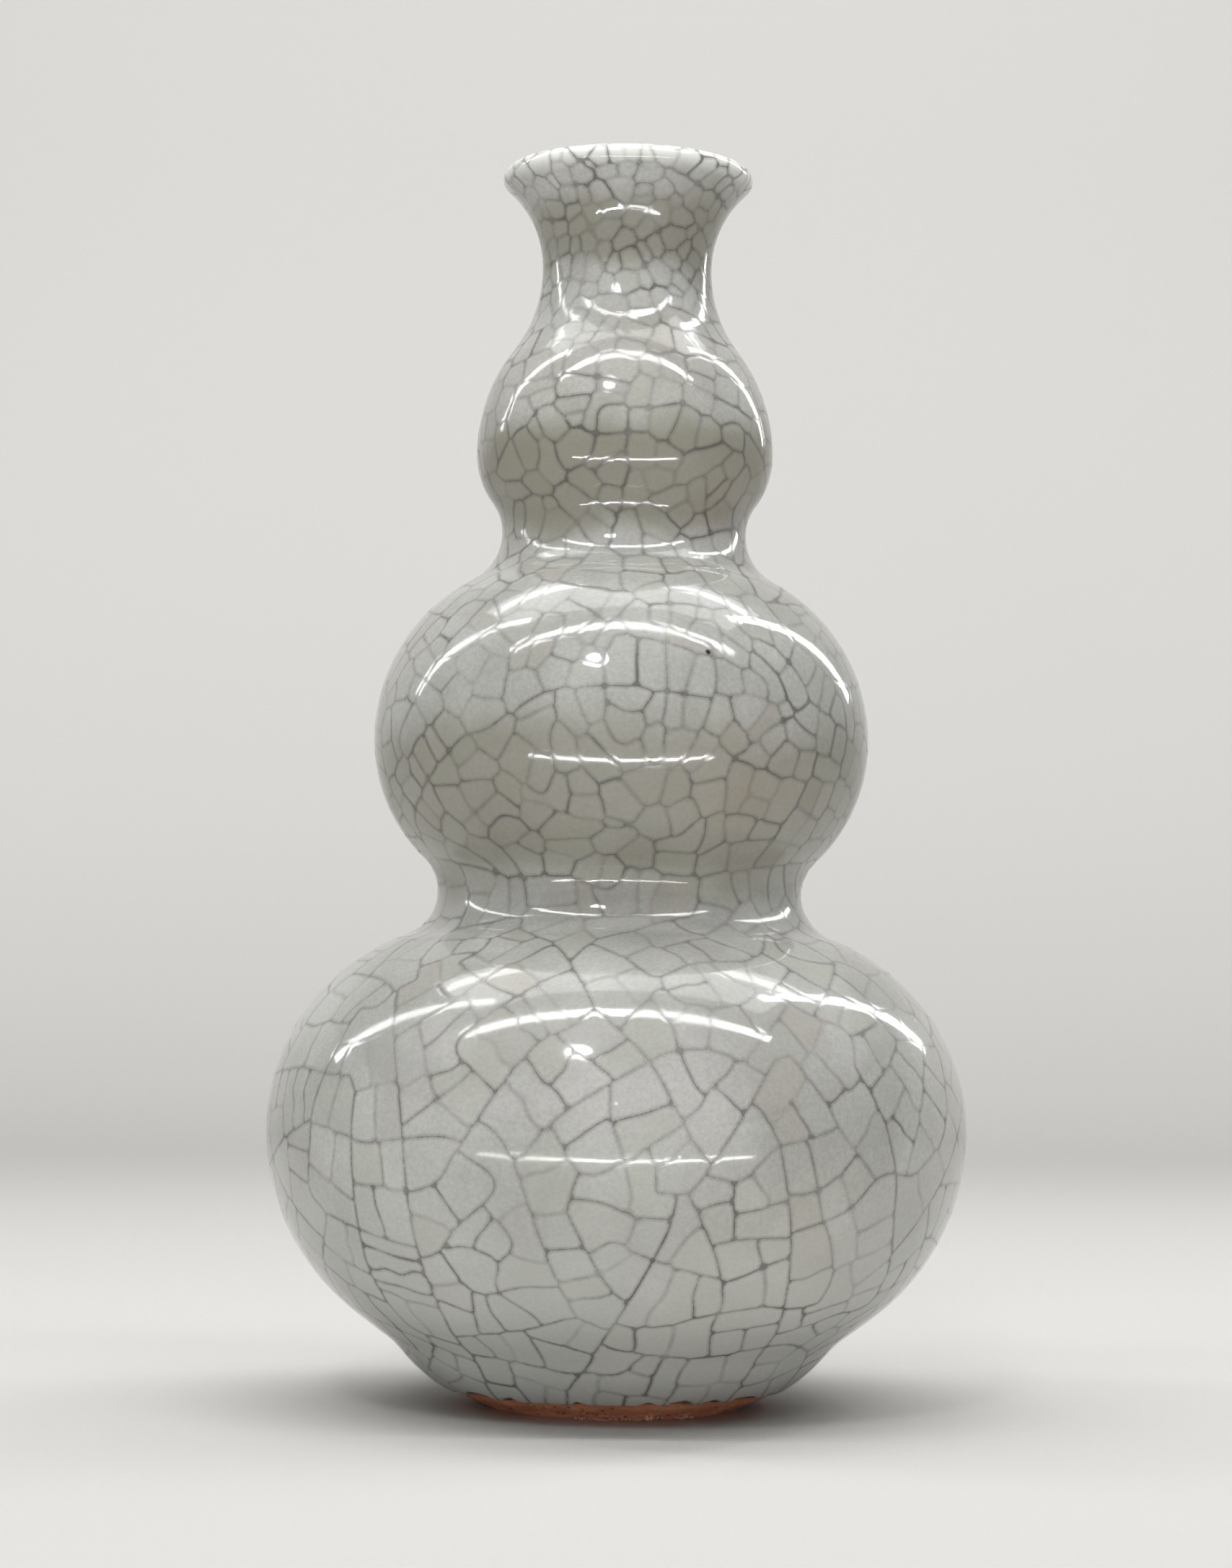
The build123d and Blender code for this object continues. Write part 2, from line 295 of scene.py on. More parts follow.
@dataclass(frozen=True)
class GourdSizes:
    """Sizes of the vase, the same as in its CAD source."""

    glaze: float = 0.8
    clay: float = 2.7
    foot_height: float = 13.3
    foot_radius: float = 30.0
    foot_inner_radius: float = 23.0
    bevel_height: float = 1.5
    bevel_width: float = 3.0
    foot_bulge: float = 1.4
    glazed_foot_share: float = 0.7
    recess_depth: float = 9.0
    floor_rise: float = 3.2
    crease_radius: float = 46.3
    bowl_height: float = 44.3
    bowl_turn_share: float = 0.839
    stations: tuple[Pair, ...] = ((73.5, 57.6), (38.3, 107.8), (52.0, 139.6), (25.7, 183.4), (31.2, 199.9),
            (17.8, 239.1))
    shares: tuple[float, ...] = (0.815, 0.214, 0.761, 0.384, 0.549)
    mouth_radius: float = 26.3
    height: float = 260.0
    crease_rounding: float = 2.4
    glaze_roll: float = 1.3
    lined_mouth_low: float = 206.0

    @property
    def wall(self) -> float:
        """Thickness of the clay with both coats."""
        return self.clay + 2 * self.glaze

    @property
    def glazed_floor(self) -> float:
        """Height of the glazed floor inside."""
        return self.foot_height + self.floor_rise + self.glaze

    def bowl(self, depth: float, low: float) -> Array:
        """Draw the bowl under the lower belly at a depth below the outer face.

        Args:
            depth: How far inside the outer face.
            low: Height to start from.

        Returns:
            Points from the start height up to the belly.
        """
        belly_radius, belly = self.stations[0]
        reach = belly_radius - self.crease_radius
        turn = self.bowl_turn_share * 2 * math.atan2(reach, self.bowl_height)
        round_radius = (self.bowl_height * math.sin(turn) - reach * math.cos(turn)) / (1 - math.cos(turn))
        radius = round_radius - depth
        join = np.array((belly_radius - round_radius + radius * math.cos(turn),
                belly - radius * math.sin(turn)))
        start = np.array((join[0] - (join[1] - low) * math.tan(turn), low))
        curve = arc((belly_radius - depth, belly), (0, -1), join)[::-1]
        return np.vstack((arc(start, join - start, join)[:-1], curve))

    def bulbs(self, depth: float) -> Array:
        """Draw the arcs from the lower belly up to the neck at a depth below the outer face.

        Args:
            depth: How far inside the outer face.

        Returns:
            Points above the belly, up to the neck.
        """
        lines = []
        for (low_radius, low), (high_radius, high), share in zip(self.stations, self.stations[1:],
                self.shares):
            reach, rise = high_radius - low_radius, high - low
            turn_share = share + depth * 2 * reach / (reach**2 + rise**2)
            start = (low_radius - depth, low)
            join = (start[0] + turn_share * reach, low + turn_share * rise)
            lines.append(arc(start, (0, 1), join)[1:])
            lines.append(arc((high_radius - depth, high), (0, -1), join)[::-1][1:])
        return np.vstack(lines)

    def mouth(self, depth: float) -> Array:
        """Draw the flare at a depth below the outer face, and the round of the lip up to its crest.

        Args:
            depth: How far inside the outer face.

        Returns:
            Points above the neck, up to the crest.
        """
        neck_radius, neck = self.stations[-1]
        half = self.wall / 2
        lip = np.array((self.mouth_radius - half, self.height - half))
        reach, rise = self.mouth_radius - neck_radius, lip[1] - neck
        middle_radius = (reach**2 + rise**2) / (2 * reach)
        turn = 2 * math.atan2(reach, rise)
        out = np.array((math.sin(turn), math.cos(turn)))
        radius = middle_radius - half + depth
        end = np.array((neck_radius - half + middle_radius - radius * math.cos(turn),
                neck + radius * math.sin(turn)))
        flare = arc((neck_radius - depth, neck), (0, 1), end)
        return np.vstack((flare[1:], arc(end, out, lip + abs(half - depth) * out)[1:]))

    def skin(self, depth: float, low: float) -> Array:
        """Draw the whole side at a depth, from a height on the bowl to the crest of the lip."""
        return np.vstack((self.bowl(depth, low), self.bulbs(depth), self.mouth(depth)))

    def foot_coat(self) -> Array:
        """Draw the glaze on the foot, from its rolled edge on the clay up to the rounded crease.

        Returns:
            Points from the rolled edge upwards.
        """
        side = self.bowl(0, self.foot_height)
        lean = (side[5] - side[0]) / np.hypot(*(side[5] - side[0]))
        crease = side[0]
        clay_crease = crease - np.array((self.glaze / abs(lean[1]), 0))
        bevel = np.array((self.foot_radius, self.bevel_height))
        down = (bevel - clay_crease) / np.hypot(*(bevel - clay_crease))
        out = np.array((-down[1], down[0]))
        share = self.glazed_foot_share
        swell = 4 * share * (1 - share) * self.foot_bulge
        clay_end = clay_crease + share * (bevel - clay_crease) + swell * out
        coat_end = clay_end + self.glaze * out
        level = np.linspace(0, 1, 90)[:, None]
        bulge = 4 * level * (1 - level) * self.foot_bulge * share**2 * out
        coat = coat_end + level * (crease - coat_end) + bulge
        roll = int(np.searchsorted(np.hypot(*(coat - coat_end).T), self.glaze_roll))
        turn_in = int(np.searchsorted(-np.hypot(*(coat - crease).T), -self.crease_rounding))
        crease_end = crease + self.crease_rounding * lean
        return np.vstack((rounded(clay_end, coat_end, coat[roll]), coat[roll + 1:turn_in],
                rounded(coat[turn_in], crease, crease_end)))


class Section:
    """Face of a coat as a line of (radius, height), with the outside of the coat on its right."""

    def __init__(self, points: Array) -> None:
        """Measure the line.

        Args:
            points: Radius and height along the face, closely spaced.
        """
        self.points = points
        steps = np.hypot(*np.diff(points, axis=0).T)
        middle = np.maximum((points[1:, 0] + points[:-1, 0]) / 2, 0.02)
        self.along = np.concatenate(([0.0], np.cumsum(steps)))
        self.rise = np.concatenate(([0.0], np.cumsum(steps / middle)))
        tangent = np.gradient(points, axis=0)
        tangent /= np.hypot(*tangent.T)[:, None]
        self.outward = np.column_stack((tangent[:, 1], -tangent[:, 0]))

    def radius_at(self, rise: Array | float) -> Array:
        """Give the radius, which is the length of one radian there, at a rise on the true-angled sheet."""
        return np.interp(rise, self.rise, self.points[:, 0])

    def along_at(self, rise: Array | float) -> Array:
        """Give the length along the face at a rise on the true-angled sheet."""
        return np.interp(rise, self.rise, self.along)

    def rise_at(self, along: Array | float) -> Array:
        """Give the rise on the true-angled sheet at a length along the face."""
        return np.interp(along, self.along, self.rise)

    def normals(self, places: Array, along: Array) -> Array:
        """Work out the exact normals of the turned face.

        Args:
            places: Points on the face.
            along: Length along the face at each point.

        Returns:
            Unit normals in the vase's frame.
        """
        spread = np.interp(along, self.along, self.outward[:, 0])
        lift = np.interp(along, self.along, self.outward[:, 1])
        radius = np.maximum(np.hypot(places[:, 0], places[:, 1]), 1e-9)
        found = np.column_stack((places[:, 0] / radius * spread, places[:, 1] / radius * spread, lift))
        return found / np.linalg.norm(found, axis=1)[:, None]

    def as_curve(self, name: str) -> Piece:
        """Make the line a curve object in the XZ plane, for Geometry Nodes to sample.

        Args:
            name: Name of the object.

        Returns:
            The curve object, in metres.
        """
        data = bpy.data.curves.new(name, "CURVE")
        data.dimensions = "3D"
        spline = data.splines.new("POLY")
        spline.points.add(len(self.points) - 1)
        flat = np.column_stack((self.points[:, 0], np.zeros(len(self.points)), self.points[:, 1]))
        spline.points.foreach_set("co", np.column_stack((flat * MM, np.ones(len(flat)))).ravel())
        return linked(name, data)


def crossing(start: Array, end: Array, firsts: Array, lasts: Array) -> float | None:
    """Find where a step first crosses any of a set of segments.

    Args:
        start: Start of the step.
        end: End of the step.
        firsts: Start of each segment.
        lasts: End of each segment.

    Returns:
        Share of the step up to the first crossing, or None.
    """
    step = end - start
    sides = lasts - firsts
    away = firsts - start
    with np.errstate(divide="ignore", invalid="ignore"):
        turn = step[0] * sides[:, 1] - step[1] * sides[:, 0]
        share = (away[:, 0] * sides[:, 1] - away[:, 1] * sides[:, 0]) / turn
        other = (away[:, 0] * step[1] - away[:, 1] * step[0]) / turn
    met = (np.abs(turn) > 1e-14) & (share > 1e-7) & (share <= 1) & (other >= 0) & (other <= 1)
    return float(share[met].min()) if met.any() else None


def inside(points: Array, outline: Array) -> Array:
    """Tell which points lie inside an outline, by counting crossings to their right.

    Args:
        points: Points to test.
        outline: Corners of a closed outline.

    Returns:
        For each point, whether it lies inside.
    """
    first, last = outline, np.roll(outline, -1, axis=0)
    x, y = points[:, :1], points[:, 1:]
    spans = (first[:, 1] > y) != (last[:, 1] > y)
    rise = np.where(last[:, 1] == first[:, 1], 1e-12, last[:, 1] - first[:, 1])
    meets = first[:, 0] + (y - first[:, 1]) * (last[:, 0] - first[:, 0]) / rise
    return (spans & (x < meets)).sum(axis=1) % 2 == 1


@dataclass
class CrackNet:
    """Cracks of the glaze on its unrolled sheet, which is true to angles.

    A long crack runs first, and later ones meet it squarely, as in a real glaze. The main cracks of the
    front are given. Cells that are still too large are then split again and again.
    """

    section: Section
    crest_rise: float
    seed: int = 41
    spacing: float = 0.95
    smoothing: int = 6
    free_tries: int = 900
    least_gap: float = 2.0
    sliver_share: float = 0.16
    easing: int = 12
    seam_waves: tuple[Pair, ...] = ((61.0, 5.0), (27.0, 2.2), (11.0, 0.8))
    longest_march: int = 600
    places_tried: int = 36
    corner_turn: float = 0.55
    least_share: float = 0.15
    cuts_tried: int = 40
    cell_heights: tuple[float, ...] = (4, 20, 45, 70, 95, 108, 122, 150, 172, 184, 205, 222, 230, 240, 262)
    cell_areas: tuple[float, ...] = (72, 82, 94, 100, 88, 62, 50, 54, 56, 48, 46, 37, 23, 21, 26)
    points: list[Array] = field(default_factory=list)
    edges: list[tuple[int, int]] = field(default_factory=list)
    strengths: list[float] = field(default_factory=list)
    seam_line: Array = field(init=False)

    def __post_init__(self) -> None:
        """Start the seeded draws and run the seam up the back."""
        self.draw = random.Random(self.seed)
        self.seam_line = self.seam()

    def even(self, line: Array, spacing: float) -> Array:
        """Space the points of a line evenly, by their true distance on the vase.

        Args:
            line: Points on the sheet.
            spacing: Wanted distance in millimetres.

        Returns:
            The line with even points, both ends among them.
        """
        middle = (line[1:, 1] + line[:-1, 1]) / 2
        steps = np.hypot(*np.diff(line, axis=0).T) * self.section.radius_at(middle)
        at = np.concatenate(([0.0], np.cumsum(steps)))
        wanted = np.linspace(0, at[-1], max(2, round(at[-1] / spacing) + 1))
        return np.column_stack((np.interp(wanted, at, line[:, 0]), np.interp(wanted, at, line[:, 1])))

    def curved(self, corners: Array) -> Array:
        """Run a smooth line through given corners and space its points evenly.

        Args:
            corners: Points that the line is led by.

        Returns:
            Evenly spaced points, eased a little.
        """
        ends = np.vstack((2 * corners[0] - corners[1], corners, 2 * corners[-1] - corners[-2]))
        share = np.linspace(0, 1, 12, endpoint=False)[:, None]
        runs = []
        for a, b, c, d in zip(ends, ends[1:], ends[2:], ends[3:]):
            runs.append(b + share * (c - a) / 2 + share**2 * (a - 2.5 * b + 2 * c - d / 2)
                    + share**3 * (1.5 * (b - c) + (d - a) / 2))
        line = self.even(np.vstack((*runs, corners[-1:])), self.spacing)
        for _ in range(self.smoothing):
            line[1:-1] = (line[:-2] + 2 * line[1:-1] + line[2:]) / 4
        return line

    def seam(self) -> Array:
        """Wander up the back: the crack along which the sheet is cut open.

        Returns:
            Evenly spaced points, from the low end of the sheet to its far end.
        """
        rises = self.section.rise_at(np.linspace(0, self.section.along[-1], 700))
        along = self.section.along_at(rises)
        drift = np.zeros_like(rises)
        for length, size in self.seam_waves:
            drift += size * np.sin(along * FULL_TURN / length + self.draw.uniform(0, FULL_TURN))
        way = np.column_stack((math.pi + drift / np.maximum(self.section.radius_at(rises), 18), rises))
        return self.even(way, self.spacing)

    def border(self) -> list[Array]:
        """Give the four sides of the sheet: both lips of the seam, the glaze line and the far end.

        Returns:
            Right lip, left lip, low side and far side.
        """
        right = self.seam_line
        left = right - (FULL_TURN, 0)
        low = self.even(np.vstack((left[:1], right[:1])), self.spacing)
        high = self.even(np.vstack((left[-1:], right[-1:])), self.spacing)
        return [right, left, low, high]

    def settle(self, lines: list[Array], fixed: list[Array]) -> list[Array]:
        """Make both ends of every main crack meet another crack, by trimming or running on.

        Args:
            lines: Main cracks.
            fixed: Sides of the sheet.

        Returns:
            The main cracks with settled ends.
        """
        settled = list(lines)
        for number in range(len(settled)):
            for _ in range(2):
                others = fixed + settled[:number] + settled[number + 1:]
                firsts = np.vstack([line[:-1] for line in others])
                lasts = np.vstack([line[1:] for line in others])
                settled[number] = self.settled_end(settled[number], firsts, lasts)[::-1]
        return settled

    def settled_end(self, line: Array, firsts: Array, lasts: Array) -> Array:
        """Trim the end of a crack at one that it just passed, or lead it on to one ahead.

        Args:
            line: The crack, whose last point is settled.
            firsts: Start of each segment of the other cracks.
            lasts: End of each segment of the other cracks.

        Returns:
            The crack with its new end.
        """
        for place in range(len(line) - 1, max(len(line) - 5, 0), -1):
            share = crossing(line[place], line[place - 1], firsts, lasts)
            if share is not None:
                return np.vstack((line[:place], line[place] + share * (line[place - 1] - line[place])))
        here = line[-1]
        way = here - line[-min(len(line), 5)]
        heading = way / np.hypot(*way)
        away = lasts - here
        length = np.maximum(np.hypot(*away.T), 1e-9)
        ahead = away @ heading / length
        true_length = length * float(self.section.radius_at(here[1]))
        cost = true_length * (1.9 - ahead) + np.where((ahead < 0.2) & (true_length > 2.2), 1000.0, 0.0)
        nearest = int(np.argmin(cost))
        chord = away[nearest]
        share = np.linspace(0, 1, max(3, round(float(true_length[nearest])) + 1))[:, None]
        pull = length[nearest] * heading
        run = here + (share**3 - 2 * share**2 + share) * pull + (2 * share**2 - share**3) * chord
        for place in range(1, len(run)):
            share_met = crossing(run[place - 1], run[place], firsts, lasts)
            if share_met is not None:
                met = run[place - 1] + share_met * (run[place] - run[place - 1])
                return np.vstack((line, run[1:place], met))
        return np.vstack((line, run[1:]))

    def grow(self) -> None:
        """Lay the main cracks, find the cells between them and split those that are too large."""
        border = self.border()
        outside = self.section.rise <= self.crest_rise
        lines, weights = [], []
        for strength, way in MAIN_CRACKS:
            corners = np.array([(math.radians(angle), np.interp(height, self.section.points[outside, 1],
                    self.section.rise[outside]))
                    for angle, height in way])
            line = self.curved(corners)
            if not lines or not self.doubles(line, np.vstack(lines)):
                lines.append(line)
                weights.append(0.36 + 0.45 * strength)
        lines = self.settle(lines, border)
        free = self.free_cracks(border + lines)
        weights.extend(min(0.8, max(0.45, self.draw.gauss(0.62, 0.09))) for _ in free)
        waiting = self.lay_out(border + lines + free, [0.8, 0.8, 0.0, 0.0] + weights)
        whole = []
        while waiting:
            cell = waiting.pop()
            parts = self.split(cell)
            if parts:
                waiting.extend(parts)
            else:
                whole.append(cell)
        self.merge_slivers(whole)
        self.ease(border)

    def merge_slivers(self, cells: list[list[int]]) -> None:
        """Heal the cracks that cut off slivers, on the side that each shares most with a neighbour.

        Args:
            cells: Outlines of all cells.
        """
        beside: dict[frozenset[int], list[int]] = {}
        for number, cell in enumerate(cells):
            for step in zip(cell, cell[1:] + cell[:1]):
                beside.setdefault(frozenset(step), []).append(number)
        healed: set[frozenset[int]] = set()
        for number, cell in enumerate(cells):
            outline = np.array([self.points[i] for i in cell])
            ahead = np.roll(outline, -1, axis=0)
            radius = self.section.radius_at(outline[:, 1])
            reach = (outline[:, 0] + ahead[:, 0]) / 2 * radius**2
            area = abs(float((reach * (ahead[:, 1] - outline[:, 1])).sum()))
            length = float((np.hypot(*(ahead - outline).T) * radius).sum())
            wanted = self.wanted_area(float(outline[:, 1].mean()))
            if area > self.sliver_share * wanted and area / length > 0.09 * math.sqrt(wanted):
                continue
            shared: dict[int, list[frozenset[int]]] = {}
            for step in zip(cell, cell[1:] + cell[:1]):
                for other in beside[frozenset(step)]:
                    if other != number:
                        shared.setdefault(other, []).append(frozenset(step))
            if shared:
                healed.update(max(shared.values(), key=len))
        self.keep_edges({i for i, edge in enumerate(self.edges) if frozenset(edge) not in healed})

    def keep_edges(self, kept: set[int]) -> None:
        """Drop all other edges, then the loose ends and the points that nothing uses.

        Args:
            kept: Numbers of the edges to keep.
        """
        loose = {-1}
        while loose:
            ends = Counter(point for number in kept for point in self.edges[number])
            loose = {number for number in kept if min(ends[point] for point in self.edges[number]) == 1}
            kept -= loose
        log.info("%d of %d edges healed", len(self.edges) - len(kept), len(self.edges))
        order = sorted(kept)
        used = {point: place for place, point in enumerate(sorted({p for i in order for p in self.edges[i]}))}
        self.points = [self.points[point] for point in used]
        self.edges, self.strengths = ([(used[a], used[b]) for a, b in (self.edges[i] for i in order)],
                [self.strengths[i] for i in order])

    def doubles(self, line: Array, others: Array) -> bool:
        """Tell whether a crack runs for the most part close beside earlier ones."""
        away = np.hypot(*(line[:, None, :] - others[None, :, :]).transpose(2, 0, 1)).min(axis=1)
        return float((away * self.section.radius_at(line[:, 1]) < self.least_gap).mean()) > 0.34

    def free_cracks(self, lines: list[Array]) -> list[Array]:
        """Let long cracks wander over the parts of the sheet that have no given ones.

        Args:
            lines: Sides of the sheet and cracks so far.

        Returns:
            The new cracks, each of which ends on another one at both ends.
        """
        firsts = np.vstack([line[:-1] for line in lines])
        lasts = np.vstack([line[1:] for line in lines])
        made = []
        for _ in range(self.free_tries):
            along = self.draw.uniform(3.0, self.section.along[-1] - 2.0)
            rise = float(self.section.rise_at(along))
            start = np.array((self.draw.uniform(-math.pi, math.pi), rise))
            radius = float(self.section.radius_at(rise))
            cell = math.sqrt(self.wanted_area(rise))
            if np.hypot(*(lasts - start).T).min() * radius < 0.95 * cell:
                continue
            heading = self.draw.uniform(0, math.pi)
            ways = [self.march(start, heading + turn, 0.35 / cell, firsts, lasts) for turn in (0.0,
                    math.pi)]
            line = np.vstack((ways[0][::-1], ways[1][1:]))
            made.append(line)
            firsts = np.vstack((firsts, line[:-1]))
            lasts = np.vstack((lasts, line[1:]))
        return made

    def march(self, start: Array, heading: float, bend: float, firsts: Array, lasts: Array) -> Array:
        """Run a crack on from a point until it meets another one.

        Args:
            start: Where it starts.
            heading: Its first direction.
            bend: How much its direction drifts at each millimetre.
            firsts: Start of each segment of the other cracks.
            lasts: End of each segment of the other cracks.

        Returns:
            Points of the crack, from its start.
        """
        way = [start]
        for _ in range(self.longest_march):
            heading += self.draw.gauss(0, bend)
            stride = self.spacing / float(self.section.radius_at(way[-1][1]))
            ahead = way[-1] + stride * np.array((math.cos(heading), math.sin(heading)))
            share = crossing(way[-1], ahead, firsts, lasts)
            if share is not None:
                way.append(way[-1] + share * (ahead - way[-1]))
                break
            way.append(ahead)
        return np.array(way)

    def ease(self, border: list[Array]) -> None:
        """Draw every crack a little towards its neighbours, so that junctions open, most in the fine net.

        Args:
            border: Sides of the sheet, whose points stay where they are.
        """
        points = np.array(self.points)
        edges = np.array(self.edges)
        held = point_tree(np.vstack(border))
        fixed = np.array([held.find((turn, rise, 0))[2] < 1e-5 for turn, rise in points])
        cell = np.array([math.sqrt(self.wanted_area(rise)) for rise in points[:, 1]])
        pull = np.where(fixed, 0.0, np.interp(cell, (4.5, 8.0, 9.6), (0.5, 0.26, 0.05)))[:, None]
        count = np.bincount(edges.ravel(), minlength=len(points))[:, None]
        for _ in range(self.easing):
            total = np.zeros_like(points)
            np.add.at(total, edges[:, 0], points[edges[:, 1]])
            np.add.at(total, edges[:, 1], points[edges[:, 0]])
            points += pull * (total / np.maximum(count, 1) - points)
        self.points = list(points)

    def lay_out(self, lines: list[Array], weights: list[float]) -> list[list[int]]:
        """Join the first lines where they cross, and trace the cells between them.

        Args:
            lines: Sides of the sheet and main cracks.
            weights: How dark each is.

        Returns:
            Outlines of the cells, as rows of point numbers, anticlockwise.
        """
        places, joins, owners = [], [], []
        for line, weight in zip(lines, weights):
            first = len(places)
            places.extend(Vector(p) for p in line)
            joins.extend((first + i, first + i + 1) for i in range(len(line) - 1))
            owners.extend([weight] * (len(line) - 1))
        points, edges, faces, _, origins, _ = delaunay_2d_cdt(places, joins, [], 1, 1e-6)
        self.points = [np.array(p) for p in points]
        fences = set()
        for edge, origin in zip(edges, origins):
            if origin:
                fences.add(frozenset(edge))
                self.edges.append(tuple(edge))
                self.strengths.append(max(owners[i] for i in origin if i < len(owners)))
        labels = cell_labels(faces, fences)
        steps: dict[int, dict[int, list[int]]] = {}
        neighbours: dict[tuple[int, int], int] = {}
        for face, label in zip(faces, labels):
            for a, b in zip(face, face[1:] + face[:1]):
                neighbours[(a, b)] = label
        for (a, b), label in neighbours.items():
            if frozenset((a, b)) in fences and neighbours.get((b, a)) != label:
                steps.setdefault(label, {}).setdefault(a, []).append(b)
        return [self.outline(way) for way in steps.values()]

    def outline(self, way: dict[int, list[int]]) -> list[int]:
        """Follow the border steps of one cell and give its longest loop.

        Args:
            way: Next points from each point of the border, used up here.

        Returns:
            Numbers of the points, in order round the cell.
        """
        loops = []
        while way:
            start = next(iter(way))
            loop = [start]
            here = start
            while here in way:
                ahead = way[here].pop()
                if not way[here]:
                    del way[here]
                here = ahead
                if here == start:
                    break
                loop.append(here)
            loops.append(loop)
        return max(loops, key=len)

    def wanted_area(self, rise: float) -> float:
        """Give the area that cells have at a rise, by the height there."""
        height = float(np.interp(rise, self.section.rise, self.section.points[:, 1]))
        return float(np.interp(height, self.cell_heights, self.cell_areas))

    def split(self, cell: list[int]) -> tuple[list[int], list[int]] | None:
        """Crack one cell across, from side to side, where that is short, even and square to its sides.

        Args:
            cell: Outline of the cell.

        Returns:
            Outlines of the two parts, or None where the cell stays whole.
        """
        if len(cell) < 8:
            return None
        outline = np.array([self.points[i] for i in cell])
        ahead = np.roll(outline, -1, axis=0)
        middle = (outline + ahead) / 2
        radius = self.section.radius_at(middle[:, 1])
        pieces = middle[:, 0] * radius**2 * (ahead[:, 1] - outline[:, 1])
        area = abs(float(pieces.sum()))
        if area < self.wanted_area(float(outline[:, 1].mean())) * self.draw.uniform(0.85, 1.5):
            return None
        sides = np.hypot(*(ahead - outline).T) * radius
        at = np.concatenate(([0.0], np.cumsum(sides)))
        ends = self.end_places(outline, at, area)
        inward = np.roll(outline, -2, axis=0) - np.roll(outline, 2, axis=0)
        inward = np.column_stack((-inward[:, 1], inward[:, 0]))
        inward /= np.maximum(np.hypot(*inward.T), 1e-12)[:, None]
        sums = np.concatenate(([0.0], np.cumsum(pieces)))
        choices = []
        for number, i in enumerate(ends):
            for j in ends[number + 1:]:
                chord = outline[j] - outline[i]
                length = float(np.hypot(*chord))
                if length < 1e-9:
                    continue
                chord = chord / length
                square = (float(inward[i] @ chord), float(-inward[j] @ chord))
                if min(square) < 0.15:
                    continue
                mean = (outline[i] + outline[j]) / 2
                scale = float(self.section.radius_at(mean[1]))
                part = abs(sums[j] - sums[i] + mean[0] * scale**2 * (outline[i, 1] - outline[j, 1])) / area
                balance = min(part, abs(1 - part))
                if balance < self.least_share:
                    continue
                cost = (length * scale / math.sqrt(area) + 0.9 * (2 - sum(square)) + 5 * (0.5 - balance) ** 2
                        + self.draw.uniform(0, 0.8))
                choices.append((cost, i, j))
        for _, i, j in sorted(choices)[:self.cuts_tried]:
            way = self.across(outline[i], outline[j], inward[i], inward[j])
            if inside(way, outline).all():
                return self.cut(cell, i, j, way, area)
        return None

    def end_places(self, outline: Array, at: Array, area: float) -> list[int]:
        """Choose places on an outline, clear of its corners, where a crack may start.

        Args:
            outline: Points round the cell.
            at: Length along the outline at each point.
            area: Area of the cell.

        Returns:
            Numbers of the chosen points of the outline.
        """
        count = len(outline)
        before = outline - np.roll(outline, 2, axis=0)
        after = np.roll(outline, -2, axis=0) - outline
        bend = before[:, 0] * after[:, 1] - before[:, 1] * after[:, 0]
        turn = np.abs(np.arctan2(bend, (before * after).sum(axis=1)))
        corners = at[:-1][turn > self.corner_turn]
        clear = min(0.16 * math.sqrt(area), 2.2)
        start = self.draw.uniform(0, at[-1])
        wanted = (start + np.arange(self.places_tried) * at[-1] / self.places_tried) % at[-1]
        places = sorted({int(i) % count for i in np.searchsorted(at, wanted)})
        if not len(corners):
            return places
        gaps = np.abs(at[places][:, None] - corners[None, :])
        gaps = np.minimum(gaps, at[-1] - gaps)
        return [place for place, gap in zip(places, gaps.min(axis=1)) if gap > clear]

    def across(self, start: Array, end: Array, leave: Array, meet: Array) -> Array:
        """Bend a crack from one side of a cell to another so that it meets both squarely.

        Args:
            start: Point on one side.
            end: Point on the other side.
            leave: Inward direction at the start.
            meet: Inward direction at the end.

        Returns:
            Points between the two ends.
        """
        chord = end - start
        length = float(np.hypot(*chord))
        scale = float(self.section.radius_at((start[1] + end[1]) / 2))
        share = np.linspace(0, 1, max(3, round(length * scale / self.spacing) + 1))[1:-1, None]
        pull = self.draw.uniform(0.35, 0.9)
        first = pull * length * leave + (1 - pull) * chord
        last = (1 - pull) * chord - pull * length * meet
        way = ((2 * share**3 - 3 * share**2 + 1) * start + (share**3 - 2 * share**2 + share) * first
                + (3 * share**2 - 2 * share**3) * end + (share**3 - share**2) * last)
        aside = np.array((-chord[1], chord[0]))
        wave = self.draw.uniform(1.5, 4.0)
        lean = self.draw.gauss(0, 0.025) * np.sin(share * wave * math.pi) * (share * (1 - share) * 4)
        return way + lean * aside

    def cut(self, cell: list[int], i: int, j: int, way: Array, area: float) -> tuple[list[int], list[int]]:
        """Add a crack to the net and give the outlines of the two parts of its cell.

        Args:
            cell: Outline of the cell.
            i: Place on the outline where the crack starts.
            j: Place where it ends.
            way: Points between the two.
            area: Area of the cell.

        Returns:
            Outlines of the two parts.
        """
        first = len(self.points)
        self.points.extend(way)
        added = list(range(first, first + len(way)))
        chain = [cell[i], *added, cell[j]]
        old = area > 5 * self.wanted_area(float(way[:, 1].mean()))
        strength = min(0.85, max(0.34, self.draw.gauss(0.6 if old else 0.53, 0.12)))
        self.edges.extend(zip(chain, chain[1:]))
        self.strengths.extend([strength] * (len(chain) - 1))
        return (cell[i:j + 1] + added[::-1], cell[j:] + cell[:i + 1] + added)


